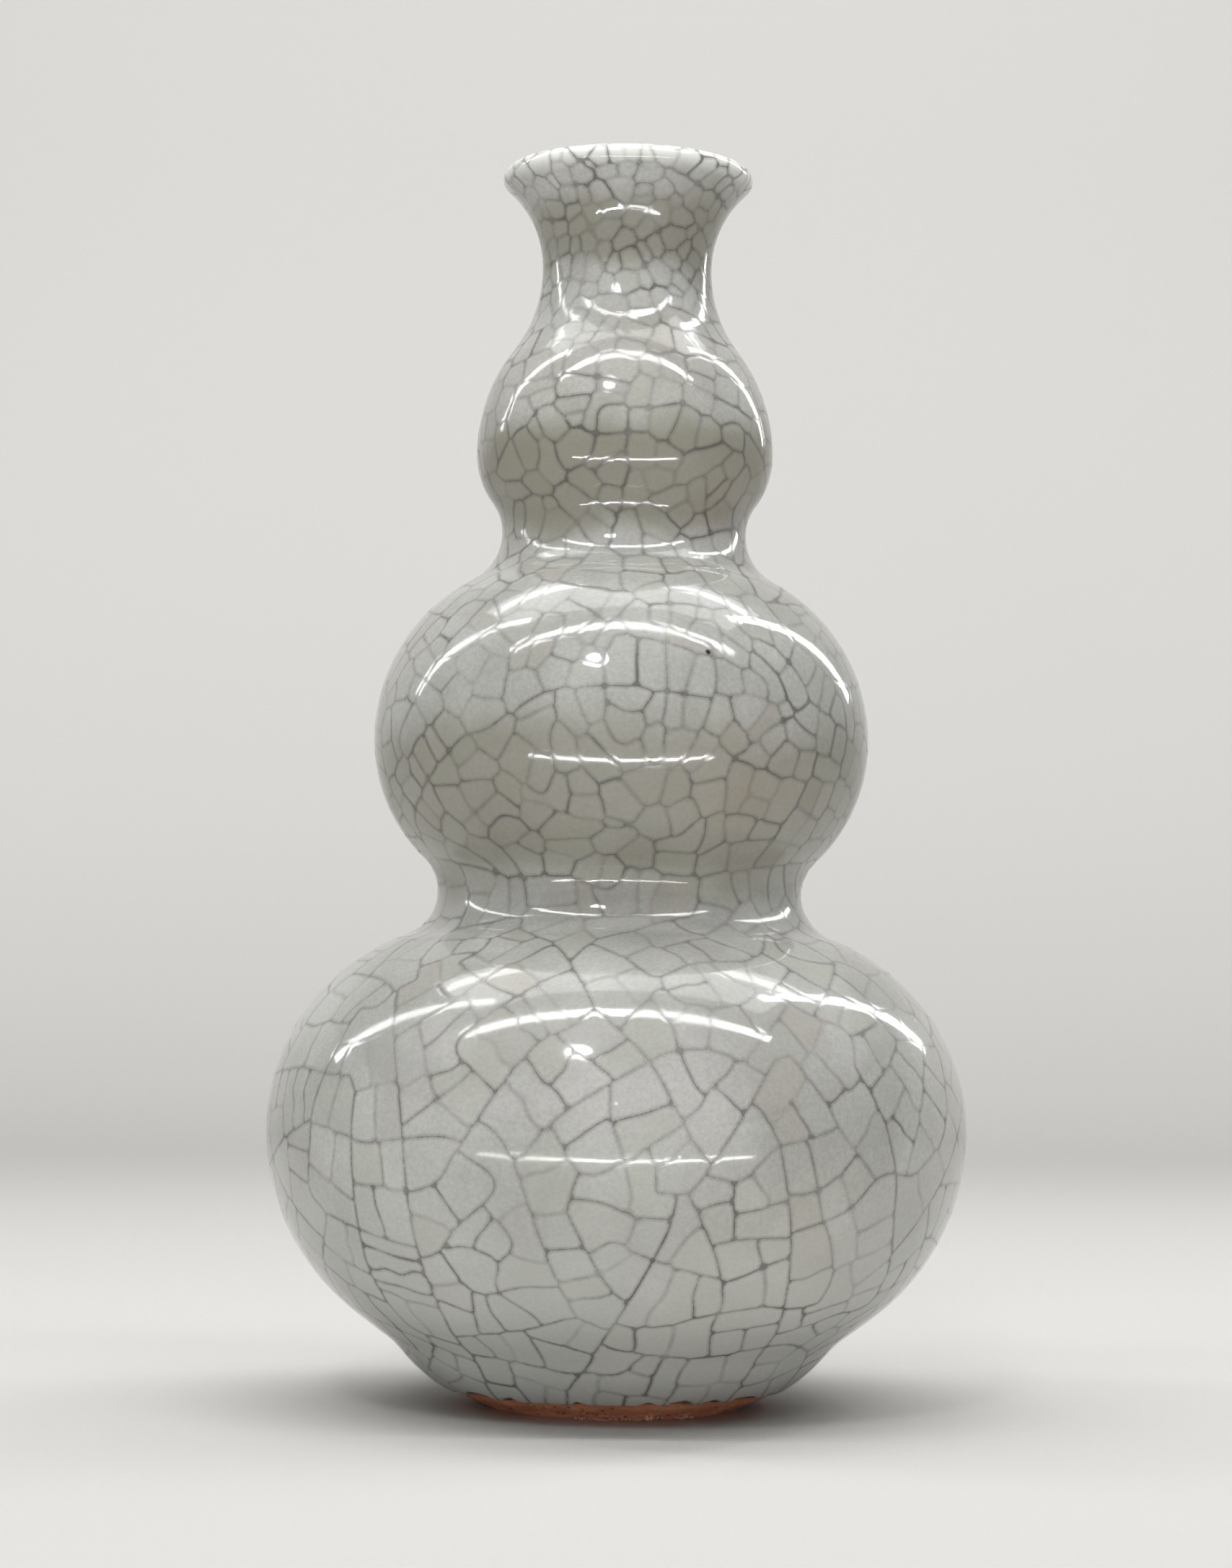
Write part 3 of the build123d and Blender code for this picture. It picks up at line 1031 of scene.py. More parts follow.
def cell_labels(faces: list[list[int]], fences: set[frozenset[int]]) -> list[int]:
    """Number the cells that fenced edges cut a mesh into.

    Args:
        faces: Corners of each face.
        fences: Edges between cells.

    Returns:
        Number of the cell of each face.
    """
    beside: dict[frozenset[int], list[int]] = {}
    for number, face in enumerate(faces):
        for a, b in zip(face, face[1:] + face[:1]):
            beside.setdefault(frozenset((a, b)), []).append(number)
    labels = [-1] * len(faces)
    label = 0
    for start in range(len(faces)):
        if labels[start] >= 0:
            continue
        labels[start] = label
        waiting = [start]
        while waiting:
            face = faces[waiting.pop()]
            for a, b in zip(face, face[1:] + face[:1]):
                edge = frozenset((a, b))
                if edge in fences:
                    continue
                for other in beside[edge]:
                    if labels[other] < 0:
                        labels[other] = label
                        waiting.append(other)
        label += 1
    return labels


@dataclass
class CrackedSheet:
    """Unrolled mesh of the cracked glaze, fine along the cracks and coarser between them."""

    net: CrackNet
    stain: float = 0.84
    fill: float = 2.5
    clear: float = 1.5
    seed: int = 7
    places: Array = field(init=False)
    strength: Array = field(init=False)
    faces: list[list[int]] = field(init=False)
    labels: Array = field(init=False)

    def __post_init__(self) -> None:
        """Mesh the sheet and number its cells."""
        lines = np.array(self.net.points)
        edges = np.array(self.net.edges)
        weights = np.array(self.net.strengths)
        strength = np.zeros(len(lines))
        np.maximum.at(strength, edges[:, 0], weights)
        np.maximum.at(strength, edges[:, 1], weights)
        tree = point_tree(lines)
        beside = self.far_from_cracks(self.on_sheet(self.beside_cracks(lines, edges, weights)), tree,
                0.9 * self.stain)
        between = self.far_from_cracks(self.on_sheet(self.between_cracks()), tree, self.clear)
        every = np.vstack((lines, beside, between))
        strength = np.concatenate((strength, np.zeros(len(beside) + len(between))))
        made = delaunay_2d_cdt([Vector(p) for p in every], [tuple(map(int, e)) for e in edges], [], 1, 1e-7)
        points, found_edges, self.faces, origins, edge_origins, _ = made
        self.places = np.array([tuple(p) for p in points])
        self.strength = np.array([max(strength[i] for i in origin) if origin else 0.6 for origin in origins])
        fences = {frozenset(edge) for edge, origin in zip(found_edges, edge_origins) if origin}
        self.labels = np.array(cell_labels(self.faces, fences))

    def on_sheet(self, points: Array) -> Array:
        """Keep the points that lie between the two lips of the seam.

        Args:
            points: Points to choose from.

        Returns:
            The points that are kept.
        """
        seam = self.net.seam_line
        right = np.interp(points[:, 1], seam[:, 1], seam[:, 0])
        edge = 0.3 / self.net.section.radius_at(points[:, 1])
        level = (points[:, 1] > seam[0, 1] + edge) & (points[:, 1] < seam[-1, 1] - edge)
        return points[level & (points[:, 0] < right - edge) & (points[:, 0] > right - FULL_TURN + edge)]

    def beside_cracks(self, lines: Array, edges: Array, weights: Array) -> Array:
        """Set points on both sides of every crack, where its stain ends.

        Args:
            lines: Points of the cracks.
            edges: Numbers of the two ends of each edge.
            weights: How dark each edge is.

        Returns:
            Points on both sides.
        """
        dark = edges[weights > 0]
        first, last = lines[dark[:, 0]], lines[dark[:, 1]]
        middle = (first + last) / 2
        way = (last - first) / np.maximum(np.hypot(*(last - first).T), 1e-12)[:, None]
        reach = self.stain / self.net.section.radius_at(middle[:, 1])
        aside = np.column_stack((-way[:, 1], way[:, 0])) * reach[:, None]
        return np.vstack((middle + aside, middle - aside))

    def between_cracks(self) -> Array:
        """Fill the whole sheet with evenly spread, slightly shifted points.

        Returns:
            Points in staggered rows, some of them past the seam.
        """
        draw = np.random.default_rng(self.seed)
        section = self.net.section
        rows = []
        along = 0.5 * self.fill
        odd = 0.0
        while along < section.along[-1]:
            rise = float(section.rise_at(along))
            radius = float(section.radius_at(rise))
            step = min(self.fill, 0.055 * radius + 0.5)
            count = round(1.2 * FULL_TURN * radius / step)
            turns = (np.arange(count) + odd) / count * 1.2 * FULL_TURN - 0.6 * FULL_TURN
            shift = draw.uniform(-0.16, 0.16, (count, 2)) * step / radius
            rows.append(np.column_stack((turns, np.full(count, rise))) + shift)
            along += 0.866 * step
            odd = 0.5 - odd
        return np.vstack(rows)

    def far_from_cracks(self, points: Array, tree: kdtree.KDTree, gap: float) -> Array:
        """Keep the points that lie at least a gap away from every crack.

        Args:
            points: Points to choose from.
            tree: Points of the cracks.
            gap: Least distance in millimetres.

        Returns:
            The points that are kept.
        """
        scale = self.net.section.radius_at(points[:, 1])
        away = np.array([tree.find((turn, rise, 0))[2] for turn, rise in points])
        return points[away * scale >= gap]

    def part(self, name: str, wanted: Array) -> Piece:
        """Make a flat object of some of the cells, with what its finish needs as attributes.

        Args:
            name: Name of the object.
            wanted: For each cell, whether it belongs.

        Returns:
            A flat object: X is the turn in radians, Y the length along the face in metres.
        """
        chosen = [face for face, label in zip(self.faces, self.labels) if wanted[label]]
        cells = self.labels[wanted[self.labels]]
        used, inverse = np.unique(np.array(chosen).ravel(), return_inverse=True)
        turn = self.places[used, 0]
        along = self.net.section.along_at(self.places[used, 1]) * MM
        mesh = bpy.data.meshes.new(name)
        mesh.from_pydata(np.column_stack((turn, along, np.zeros(len(used)))).tolist(), [],
                inverse.reshape(-1, 3).tolist())
        draw = np.random.default_rng(self.seed + 1)
        tone = draw.normal(0, 1, len(wanted))
        tint = draw.uniform(0, 1, len(wanted))
        put_attribute(mesh, "crack", "POINT", self.strength[used])
        put_attribute(mesh, "along", "POINT", along)
        put_attribute(mesh, "tone", "FACE", tone[cells])
        put_attribute(mesh, "tint", "FACE", tint[cells])
        return linked(name, mesh)

    def cell_rises(self) -> Array:
        """Give the mean rise of each cell."""
        rises = self.places[np.array(self.faces), 1].mean(axis=1)
        return np.bincount(self.labels, rises) / np.bincount(self.labels)


def put_attribute(mesh: Mesh, name: str, domain: str, values: Array) -> None:
    """Store one number per point or face in a mesh."""
    mesh.attributes.new(name, "FLOAT", domain).data.foreach_set("value",
            np.asarray(values, dtype=np.float32))


class Wiring:
    """Adds nodes to one node tree and wires them."""

    def __init__(self, tree: NodeTree) -> None:
        """Keep the tree to work on."""
        self.tree = tree

    def add(self, kind: str, inputs: dict[str | int, object] | None = None, **settings: object) -> Node:
        """Add a node.

        Args:
            kind: Blender's name of the node type.
            inputs: Values or sockets for its inputs, by name or number.
            settings: The node's own settings.

        Returns:
            The node.
        """
        node = self.tree.nodes.new(kind)
        for name, value in settings.items():
            setattr(node, name, value)
        for place, value in (inputs or {}).items():
            if isinstance(value, Socket):
                self.tree.links.new(value, node.inputs[place])
            else:
                node.inputs[place].default_value = value
        return node

    def out(self, kind: str, inputs: dict[str | int, object] | None = None, **settings: object) -> Socket:
        """Add a node and give its first output."""
        return self.add(kind, inputs, **settings).outputs[0]

    def link(self, source: Socket, target: Socket) -> None:
        """Wire one socket to another."""
        self.tree.links.new(source, target)


class ShaderWiring(Wiring):
    """Adds the shader nodes that the finishes share."""

    def math(self, operation: str, first: object, second: object = 0.0, clamp: bool = False) -> Socket:
        """Add a sum or the like of two numbers."""
        return self.out("ShaderNodeMath", {0: first, 1: second}, operation=operation, use_clamp=clamp)

    def times(self, first: object, second: object, clamp: bool = False) -> Socket:
        """Multiply two numbers."""
        return self.math("MULTIPLY", first, second, clamp)

    def plus(self, first: object, second: object) -> Socket:
        """Add two numbers."""
        return self.math("ADD", first, second)

    def ramp(self, value: object, low: float, high: float, first: float = 0.0, last: float = 1.0) -> Socket:
        """Bring a number from one range to another, smoothly and with both ends held."""
        node = self.add("ShaderNodeMapRange", {0: value, 1: low, 2: high, 3: first, 4: last},
                interpolation_type="SMOOTHSTEP")
        return node.outputs[0]

    def mix(self, share: object, first: object, second: object, blend: str = "MIX") -> Socket:
        """Mix two colours."""
        return self.add("ShaderNodeMix", {0: share, 6: first, 7: second}, data_type="RGBA",
                blend_type=blend).outputs[2]

    def noise(self, vector: object, scale: object, detail: float = 3.0, rough: float = 0.5) -> Socket:
        """Add a noise and give its value."""
        node = self.add("ShaderNodeTexNoise", {"Vector": vector, "Scale": scale, "Detail": detail,
                "Roughness": rough})
        return node.outputs[0]

    def attribute(self, name: str) -> Socket:
        """Read a number stored in the mesh."""
        return self.add("ShaderNodeAttribute", attribute_name=name).outputs["Fac"]

    def seen_rays(self) -> Socket:
        """Give 1 to the rays that show a background: from the camera, in a reflection or through glass.

        Returns:
            A mask of 0 or 1.
        """
        path = self.add("ShaderNodeLightPath").outputs
        seen = self.math("ADD", path["Is Camera Ray"], path["Is Glossy Ray"])
        return self.math("ADD", seen, path["Is Transmission Ray"], clamp=True)

    def place(self) -> Socket:
        """Read the place on the object."""
        return self.add("ShaderNodeTexCoord").outputs["Object"]


class SharedEffect(Enum):
    """Shader node groups that several finishes use."""

    GLAZE_MOTTLE = "glaze_mottle"
    CLAY_GRAIN = "clay_grain"

    def group(self) -> NodeTree:
        """Give the group, built on first use."""
        ready = bpy.data.node_groups.get(self.value)
        return ready or (glaze_mottle() if self is SharedEffect.GLAZE_MOTTLE else clay_grain())


def new_group(name: str, inputs: Sequence[tuple[str, str]], outputs: Sequence[tuple[str, str]]) -> NodeTree:
    """Start a shader group with named sockets.

    Args:
        name: Name of the group.
        inputs: Name and socket type of each input.
        outputs: Name and socket type of each output.

    Returns:
        The empty group.
    """
    tree = bpy.data.node_groups.new(name, "ShaderNodeTree")
    for label, kind in inputs:
        tree.interface.new_socket(label, in_out="INPUT", socket_type=kind)
    for label, kind in outputs:
        tree.interface.new_socket(label, in_out="OUTPUT", socket_type=kind)
    return tree


def glaze_mottle() -> NodeTree:
    """Build the cloudy, pinholed depth of a stoneware glaze.

    Returns:
        A group that gives a colour, a mask of pinholes and a height.
    """
    tree = new_group("glaze_mottle",
            (("Place", "NodeSocketVector"), ("Light", "NodeSocketColor"), ("Dark", "NodeSocketColor"),
            ("Warm", "NodeSocketColor")),
            (("Colour", "NodeSocketColor"), ("Pinholes", "NodeSocketFloat"), ("Height", "NodeSocketFloat")))
    wiring = ShaderWiring(tree)
    taken = wiring.add("NodeGroupInput")
    given = wiring.add("NodeGroupOutput")
    place = taken.outputs["Place"]
    clouds = wiring.ramp(wiring.noise(place, 26.0, 4.0, 0.55), 0.36, 0.66)
    cast = wiring.ramp(wiring.noise(place, 11.0, 2.0, 0.5), 0.52, 0.74, 0.0, 0.5)
    pale = wiring.mix(clouds, taken.outputs["Dark"], taken.outputs["Light"])
    toned = wiring.mix(cast, pale, taken.outputs["Warm"])
    fine = wiring.ramp(wiring.noise(place, 1100.0, 4.0, 0.75), 0.3, 0.7, 0.89, 1.07)
    grain = wiring.out("ShaderNodeCombineColor", {0: fine, 1: fine, 2: fine})
    dots = wiring.add("ShaderNodeTexVoronoi", {"Vector": place, "Scale": 165.0, "Randomness": 1.0})
    chance = wiring.out("ShaderNodeSeparateColor", {0: dots.outputs["Color"]})
    near = wiring.ramp(dots.outputs["Distance"], 0.03, 0.085, 1.0, 0.0)
    pinholes = wiring.times(near, wiring.ramp(chance, 0.955, 0.965))
    peel = wiring.noise(place, 75.0, 2.0, 0.5)
    swell = wiring.noise(place, 30.0, 1.0, 0.5)
    wiring.link(wiring.mix(1.0, toned, grain, "MULTIPLY"), given.inputs["Colour"])
    wiring.link(pinholes, given.inputs["Pinholes"])
    wiring.link(wiring.plus(wiring.times(peel, 0.3), swell), given.inputs["Height"])
    return tree


def clay_grain() -> NodeTree:
    """Build the speckle and grit of fired stoneware clay.

    Returns:
        A group that gives a colour and a height.
    """
    tree = new_group("clay_grain",
            (("Place", "NodeSocketVector"), ("Light", "NodeSocketColor"), ("Dark", "NodeSocketColor"),
            ("Speck", "NodeSocketColor")),
            (("Colour", "NodeSocketColor"), ("Height", "NodeSocketFloat")))
    wiring = ShaderWiring(tree)
    taken = wiring.add("NodeGroupInput")
    given = wiring.add("NodeGroupOutput")
    place = taken.outputs["Place"]
    patches = wiring.ramp(wiring.noise(place, 170.0, 5.0, 0.62), 0.34, 0.68)
    body = wiring.mix(patches, taken.outputs["Dark"], taken.outputs["Light"])
    grains = wiring.add("ShaderNodeTexVoronoi", {"Vector": place, "Scale": 900.0, "Randomness": 1.0})
    chance = wiring.add("ShaderNodeSeparateColor", {0: grains.outputs["Color"]}).outputs[1]
    dark = wiring.times(wiring.ramp(grains.outputs["Distance"], 0.2, 0.45, 1.0, 0.0),
            wiring.ramp(chance, 0.78, 0.84))
    wiring.link(wiring.mix(dark, body, taken.outputs["Speck"]), given.inputs["Colour"])
    rough = wiring.noise(place, 1500.0, 3.0, 0.65)
    wiring.link(wiring.plus(rough, wiring.times(dark, -0.6)), given.inputs["Height"])
    return tree


@dataclass(frozen=True)
class Finish:
    """A finish: a Principled material whose colours and bumps its own class wires up."""

    name: str
    light: Colour
    dark: Colour
    accent: Colour
    roughness: float = 0.6

    def material(self) -> bpy.types.Material:
        """Give the material, built on first use.

        Returns:
            The material.
        """
        ready = bpy.data.materials.get(self.name)
        if ready:
            return ready
        made = bpy.data.materials.new(self.name)
        made.use_nodes = True
        made.diffuse_color = self.light
        shader = made.node_tree.nodes["Principled BSDF"]
        shader.inputs["Roughness"].default_value = self.roughness
        self.wire(ShaderWiring(made.node_tree), shader)
        return made

    def wire(self, wiring: ShaderWiring, shader: Node) -> None:
        """Wire the colour and bump of plain fired clay.

        Args:
            wiring: Where the nodes go.
            shader: The material's own shader.
        """
        grain = self.effect(wiring, SharedEffect.CLAY_GRAIN, wiring.place())
        wiring.link(grain.outputs["Colour"], shader.inputs["Base Color"])
        self.bump(wiring, shader, grain.outputs["Height"], 0.00008)

    def effect(self, wiring: ShaderWiring, shared: SharedEffect, place: Socket) -> Node:
        """Add a shared effect in this finish's own colours."""
        return wiring.add("ShaderNodeGroup", {"Place": place, 1: self.light, 2: self.dark, 3: self.accent},
                node_tree=shared.group())

    def bump(self, wiring: ShaderWiring, shader: Node, height: Socket, distance: float) -> None:
        """Let a height tilt the surface."""
        node = wiring.add("ShaderNodeBump", {"Strength": 1.0, "Distance": distance, "Height": height})
        wiring.link(node.outputs["Normal"], shader.inputs["Normal"])


@dataclass(frozen=True)
class FootClay(Finish):
    """Bare turned clay of the foot, flashed orange where the glaze ends."""

    flash: Colour = srgb(196, 122, 76)
    flash_low: float = 2.6
    flash_high: float = 4.6

    def wire(self, wiring: ShaderWiring, shader: Node) -> None:
        """Add turning rings and the flashed band to the clay.

        Args:
            wiring: Where the nodes go.
            shader: The material's own shader.
        """
        place = wiring.place()
        grain = self.effect(wiring, SharedEffect.CLAY_GRAIN, place)
        height = wiring.add("ShaderNodeSeparateXYZ", {0: place}).outputs[2]
        uneven = wiring.times(wiring.noise(place, 120.0, 2.0), 0.0018)
        line = wiring.plus(height, uneven)
        band = wiring.ramp(line, (self.flash_low + 0.9) * MM, (self.flash_high + 0.9) * MM, 0.0, 0.85)
        wiring.link(wiring.mix(band, grain.outputs["Colour"], self.flash), shader.inputs["Base Color"])
        rings = wiring.out("ShaderNodeTexNoise", {"W": wiring.times(height, 2600.0), "Scale": 1.0,
                "Detail": 1.0}, noise_dimensions="1D")
        relief = wiring.plus(grain.outputs["Height"], wiring.times(rings, 1.6))
        self.bump(wiring, shader, relief, 0.0001)


@dataclass(frozen=True)
class CrackleGlaze(Finish):
    """Glossy glaze whose cracks were stained dark."""

    stain: Colour = srgb(78, 76, 72)
    green: Colour = srgb(158, 162, 146)
    pinhole: Colour = srgb(226, 226, 220)
    iron: Colour = srgb(30, 24, 22)
    iron_specks: tuple[tuple[float, float, float, float], ...] = ((17.0, -46.0, 154.4, 0.75),)
    # Warm brownish spots on the fronts of the upper and middle bulbs: partly a real warm tint of the glaze,
    # partly a painted dark reflection of the room.
    warm_tint_and_dark_reflection: Colour = srgb(140, 116, 100)
    warm_and_dark_reflection_spots: tuple[tuple[float, float, float, float], ...] = ((17.7, -19.6, 187.2, 14.0),
            (25.7, -42.3, 126.8, 22.0))
    # Olive bands under the middle bulb, the upper bulb and the flare: partly an olive cast of the glaze,
    # partly painted shade on these downward faces; the band on the flare is mostly painted shade.
    olive_and_painted_shade: Colour = srgb(124, 121, 104)
    olive_and_painted_shade_bands: tuple[tuple[float, float, float], ...] = ((102.0, 148.0, 0.6), (178.0, 208.0, 0.75),
            (234.0, 254.0, 0.65))
    # Paler low on the lower bulb: partly paler glaze, partly painted light on its underside.
    pale: Colour = srgb(206, 207, 203)
    paler_and_painted_light_low: float = 22.0
    paler_and_painted_light_high: float = 56.0
    # Paler along the crest of the lip: a painted highlight where the lip faces the lamps above.
    lip: Colour = srgb(238, 238, 233)
    lip_highlight_low: float = 255.0
    lip_highlight_high: float = 258.5

    def wire(self, wiring: ShaderWiring, shader: Node) -> None:
        """Wire mottle, cell tones, height bands with painted shade and light, warm spots with painted dark
        reflection, stained cracks and specks.

        Args:
            wiring: Where the nodes go.
            shader: The material's own shader.
        """
        place = wiring.place()
        mottle = self.effect(wiring, SharedEffect.GLAZE_MOTTLE, place)
        colour = wiring.mix(mottle.outputs["Pinholes"], mottle.outputs["Colour"], self.pinhole)
        crack, relief = self.cracks(wiring, place)
        colour = self.height_tones_and_painted_light(wiring, place, self.cell_tones(wiring, colour))
        # Warm spots on the fronts: partly the glaze's own tint, partly a painted dark reflection.
        for spot in self.warm_and_dark_reflection_spots:
            uneven = wiring.times(wiring.noise(place, 120.0, 4.0), 1.2 * spot[3] * MM)
            colour = wiring.mix(self.near(wiring, place, spot, uneven, 0.2, 1.5, 0.34), colour, self.warm_tint_and_dark_reflection)
        for spot in self.iron_specks:
            uneven = wiring.times(wiring.noise(place, 900.0), 0.0006)
            colour = wiring.mix(self.near(wiring, place, spot, uneven, 0.9, 1.5, 1.0), colour, self.iron)
        colour = wiring.mix(crack, colour, self.stain)
        wiring.link(colour, shader.inputs["Base Color"])
        gloss = wiring.ramp(wiring.noise(place, 60.0, 3.0), 0.3, 0.7, self.roughness - 0.03,
                self.roughness + 0.04)
        wiring.link(wiring.plus(gloss, wiring.times(crack, 0.25)), shader.inputs["Roughness"])
        height = wiring.math("SUBTRACT", wiring.times(mottle.outputs["Height"], 0.9), relief)
        self.bump(wiring, shader, height, 0.0001)

    def cracks(self, wiring: ShaderWiring, place: Socket) -> tuple[Socket, Socket]:
        """Give the stain and the groove of the meshed cracks.

        Args:
            wiring: Where the nodes go.
            place: Place on the object.

        Returns:
            Share of the stain, and depth of the groove.
        """
        crack = wiring.attribute("crack")
        patchy = wiring.ramp(wiring.noise(place, 90.0, 4.0, 0.65), 0.34, 0.62, 0.5, 1.06)
        frayed = wiring.plus(crack, wiring.times(wiring.noise(place, 1700.0, 3.0, 0.6), 0.3))
        core = wiring.ramp(frayed, 0.46, 0.84, 0.0, 0.82)
        halo = wiring.ramp(frayed, 0.12, 0.6, 0.0, 0.3)
        both = wiring.math("MAXIMUM", core, halo)
        return wiring.times(both, patchy, clamp=True), wiring.times(crack, 0.25)

    def near(self, wiring: ShaderWiring, place: Socket, spot: Sequence[float],
            uneven: Socket, inner: float, outer: float, most: float) -> Socket:
        """Give a soft mask round a spot of the surface.

        Args:
            wiring: Where the nodes go.
            place: Place on the object.
            spot: Centre and radius, in millimetres.
            uneven: What makes its edge irregular.
            inner: Share of the radius within which the mask is full.
            outer: Share of the radius at which it ends.
            most: Value of the full mask.

        Returns:
            The mask.
        """
        centre = tuple(value * MM for value in spot[:3])
        away = wiring.add("ShaderNodeVectorMath", {0: place, 1: centre},
                operation="DISTANCE").outputs["Value"]
        return wiring.ramp(wiring.plus(away, uneven), inner * spot[3] * MM, outer * spot[3] * MM, most, 0.0)

    def height_tones_and_painted_light(self, wiring: ShaderWiring, place: Socket,
            colour: Socket) -> Socket:
        """Turn the glaze olive under the middle and upper bulbs and the flare, partly its own cast and partly
        painted shade on these downward faces; paler low on the lower bulb, partly painted light; and paler on
        the lip's crest, a painted highlight.

        Args:
            wiring: Where the nodes go.
            place: Place on the object.
            colour: Colour so far.

        Returns:
            The toned colour.
        """
        height = wiring.add("ShaderNodeSeparateXYZ", {0: place}).outputs[2]
        cloud = wiring.math("SUBTRACT", wiring.noise(place, 38.0, 3.0), 0.5)
        level = wiring.plus(height, wiring.times(cloud, 0.022))
        # Olive bands on the downward faces: partly the glaze's own cast, partly painted shade.
        for low, high, most in self.olive_and_painted_shade_bands:
            soft = 0.3 * (high - low)
            rise = wiring.ramp(level, low * MM, (low + soft) * MM, 0.0, most)
            fall = wiring.ramp(level, (high - soft) * MM, high * MM, 1.0, 0.0)
            colour = wiring.mix(wiring.times(rise, fall), colour, self.olive_and_painted_shade)
        # Paler towards the bottom of the lower bulb: partly paler glaze, partly painted light on the
        # underside.
        colour = wiring.mix(wiring.ramp(level, self.paler_and_painted_light_low * MM, self.paler_and_painted_light_high * MM, 0.5, 0.0), colour,
                self.pale)
        # Painted highlight along the crest of the lip.
        lip_highlight_share = wiring.ramp(height, self.lip_highlight_low * MM, self.lip_highlight_high * MM, 0.0, 0.85)
        return wiring.mix(lip_highlight_share, colour, self.lip)

    def cell_tones(self, wiring: ShaderWiring, colour: Socket) -> Socket:
        """Shift the colour of each cell a little, a few of them towards green or brown.

        Args:
            wiring: Where the nodes go.
            colour: Colour so far.

        Returns:
            The toned colour.
        """
        level = wiring.plus(wiring.times(wiring.attribute("tone"), 0.022), 1.0)
        grey = wiring.out("ShaderNodeCombineColor", {0: level, 1: level, 2: level})
        toned = wiring.mix(1.0, colour, grey, "MULTIPLY")
        tint = wiring.attribute("tint")
        toned = wiring.mix(wiring.ramp(tint, 0.8, 1.0, 0.0, 0.3), toned, self.green)
        return wiring.mix(wiring.ramp(tint, 0.0, 0.12, 0.3, 0.0), toned, self.accent)


@dataclass(frozen=True)
class LiningGlaze(CrackleGlaze):
    """The same glaze inside and under the foot, with an unmeshed crackle."""

    cell: float = 11.0

    def cracks(self, wiring: ShaderWiring, place: Socket) -> tuple[Socket, Socket]:
        """Draw the crackle as the borders of irregular cells.

        Args:
            wiring: Where the nodes go.
            place: Place on the object.

        Returns:
            Share of the stain, and depth of the groove.
        """
        bend = wiring.add("ShaderNodeTexNoise", {"Vector": place, "Scale": 70.0, "Detail": 2.0}).outputs[1]
        shift = wiring.out("ShaderNodeVectorMath", {0: bend, 3: 0.004}, operation="SCALE")
        moved = wiring.out("ShaderNodeVectorMath", {0: place, 1: shift}, operation="ADD")
        cells = wiring.out("ShaderNodeTexVoronoi", {"Vector": moved, "Scale": 1 / (self.cell * MM)},
                feature="DISTANCE_TO_EDGE")
        line = wiring.ramp(cells, 0.012, 0.04, 1.0, 0.0)
        return wiring.times(line, 0.75), wiring.times(line, 0.4)


def geometry_tree(name: str, inputs: Sequence[tuple[str, str]]) -> tuple[Wiring, Node, Node]:
    """Start a Geometry Nodes tree that takes a mesh and gives one.

    Args:
        name: Name of the tree.
        inputs: Name and socket type of each further input.

    Returns:
        The wiring, the input node and the output node.
    """
    tree = bpy.data.node_groups.new(name, "GeometryNodeTree")
    tree.is_modifier = True
    tree.interface.new_socket("Geometry", in_out="INPUT", socket_type="NodeSocketGeometry")
    for label, kind in inputs:
        tree.interface.new_socket(label, in_out="INPUT", socket_type=kind)
    tree.interface.new_socket("Geometry", in_out="OUTPUT", socket_type="NodeSocketGeometry")
    wiring = Wiring(tree)
    return wiring, wiring.add("NodeGroupInput"), wiring.add("NodeGroupOutput")


def end_tree(wiring: Wiring, geometry: Socket, finish: Socket, given: Node) -> None:
    """Close a Geometry Nodes tree: realise its instances and set the material.

    Args:
        wiring: Wiring of the tree.
        geometry: Geometry that the tree made.
        finish: Material to set.
        given: Output node.
    """
    real = wiring.out("GeometryNodeRealizeInstances", {0: geometry})
    dressed = wiring.out("GeometryNodeSetMaterial", {"Geometry": real, "Material": finish})
    wiring.link(dressed, given.inputs[0])


def wrap_tree() -> NodeTree:
    """Build the tree that wraps a flat sheet round the axis along a half section.

    Returns:
        The tree, built on first use.
    """
    ready = bpy.data.node_groups.get("wrap_round_axis")
    if ready:
        return ready
    wiring, taken, given = geometry_tree("wrap_round_axis",
            (("Section", "NodeSocketObject"), ("Groove Depth", "NodeSocketFloat"),
            ("Finish", "NodeSocketMaterial")))
    flat = wiring.add("ShaderNodeSeparateXYZ", {0: wiring.out("GeometryNodeInputPosition")})
    shape = wiring.add("GeometryNodeObjectInfo", {"Object": taken.outputs["Section"]})
    at = wiring.add("GeometryNodeSampleCurve",
            {"Curves": shape.outputs["Geometry"], "Length": flat.outputs[1]},
            mode="LENGTH")
    outward = wiring.out("ShaderNodeVectorMath", {0: (0.0, 1.0, 0.0), 1: at.outputs["Tangent"]},
            operation="CROSS_PRODUCT")
    crack = wiring.out("GeometryNodeInputNamedAttribute", {"Name": "crack"}, data_type="FLOAT")
    depth = wiring.out("ShaderNodeMath", {0: crack, 1: taken.outputs["Groove Depth"]}, operation="MULTIPLY")
    sunk = wiring.out("ShaderNodeVectorMath", {0: outward, 3: depth}, operation="SCALE")
    point = wiring.out("ShaderNodeVectorMath", {0: at.outputs["Position"], 1: sunk}, operation="SUBTRACT")
    turn = wiring.out("ShaderNodeMath", {0: flat.outputs[0], 1: math.pi / 2}, operation="SUBTRACT")
    placed = wiring.out("ShaderNodeVectorRotate", {"Vector": point, "Angle": turn}, rotation_type="Z_AXIS")
    wrapped = wiring.out("GeometryNodeSetPosition", {"Geometry": taken.outputs[0], "Position": placed})
    closed = wiring.out("GeometryNodeMergeByDistance", {"Geometry": wrapped, "Distance": 0.004 * MM})
    smooth = wiring.out("GeometryNodeSetShadeSmooth", {0: closed, 2: True})
    end_tree(wiring, smooth, taken.outputs["Finish"], given)
    return wiring.tree


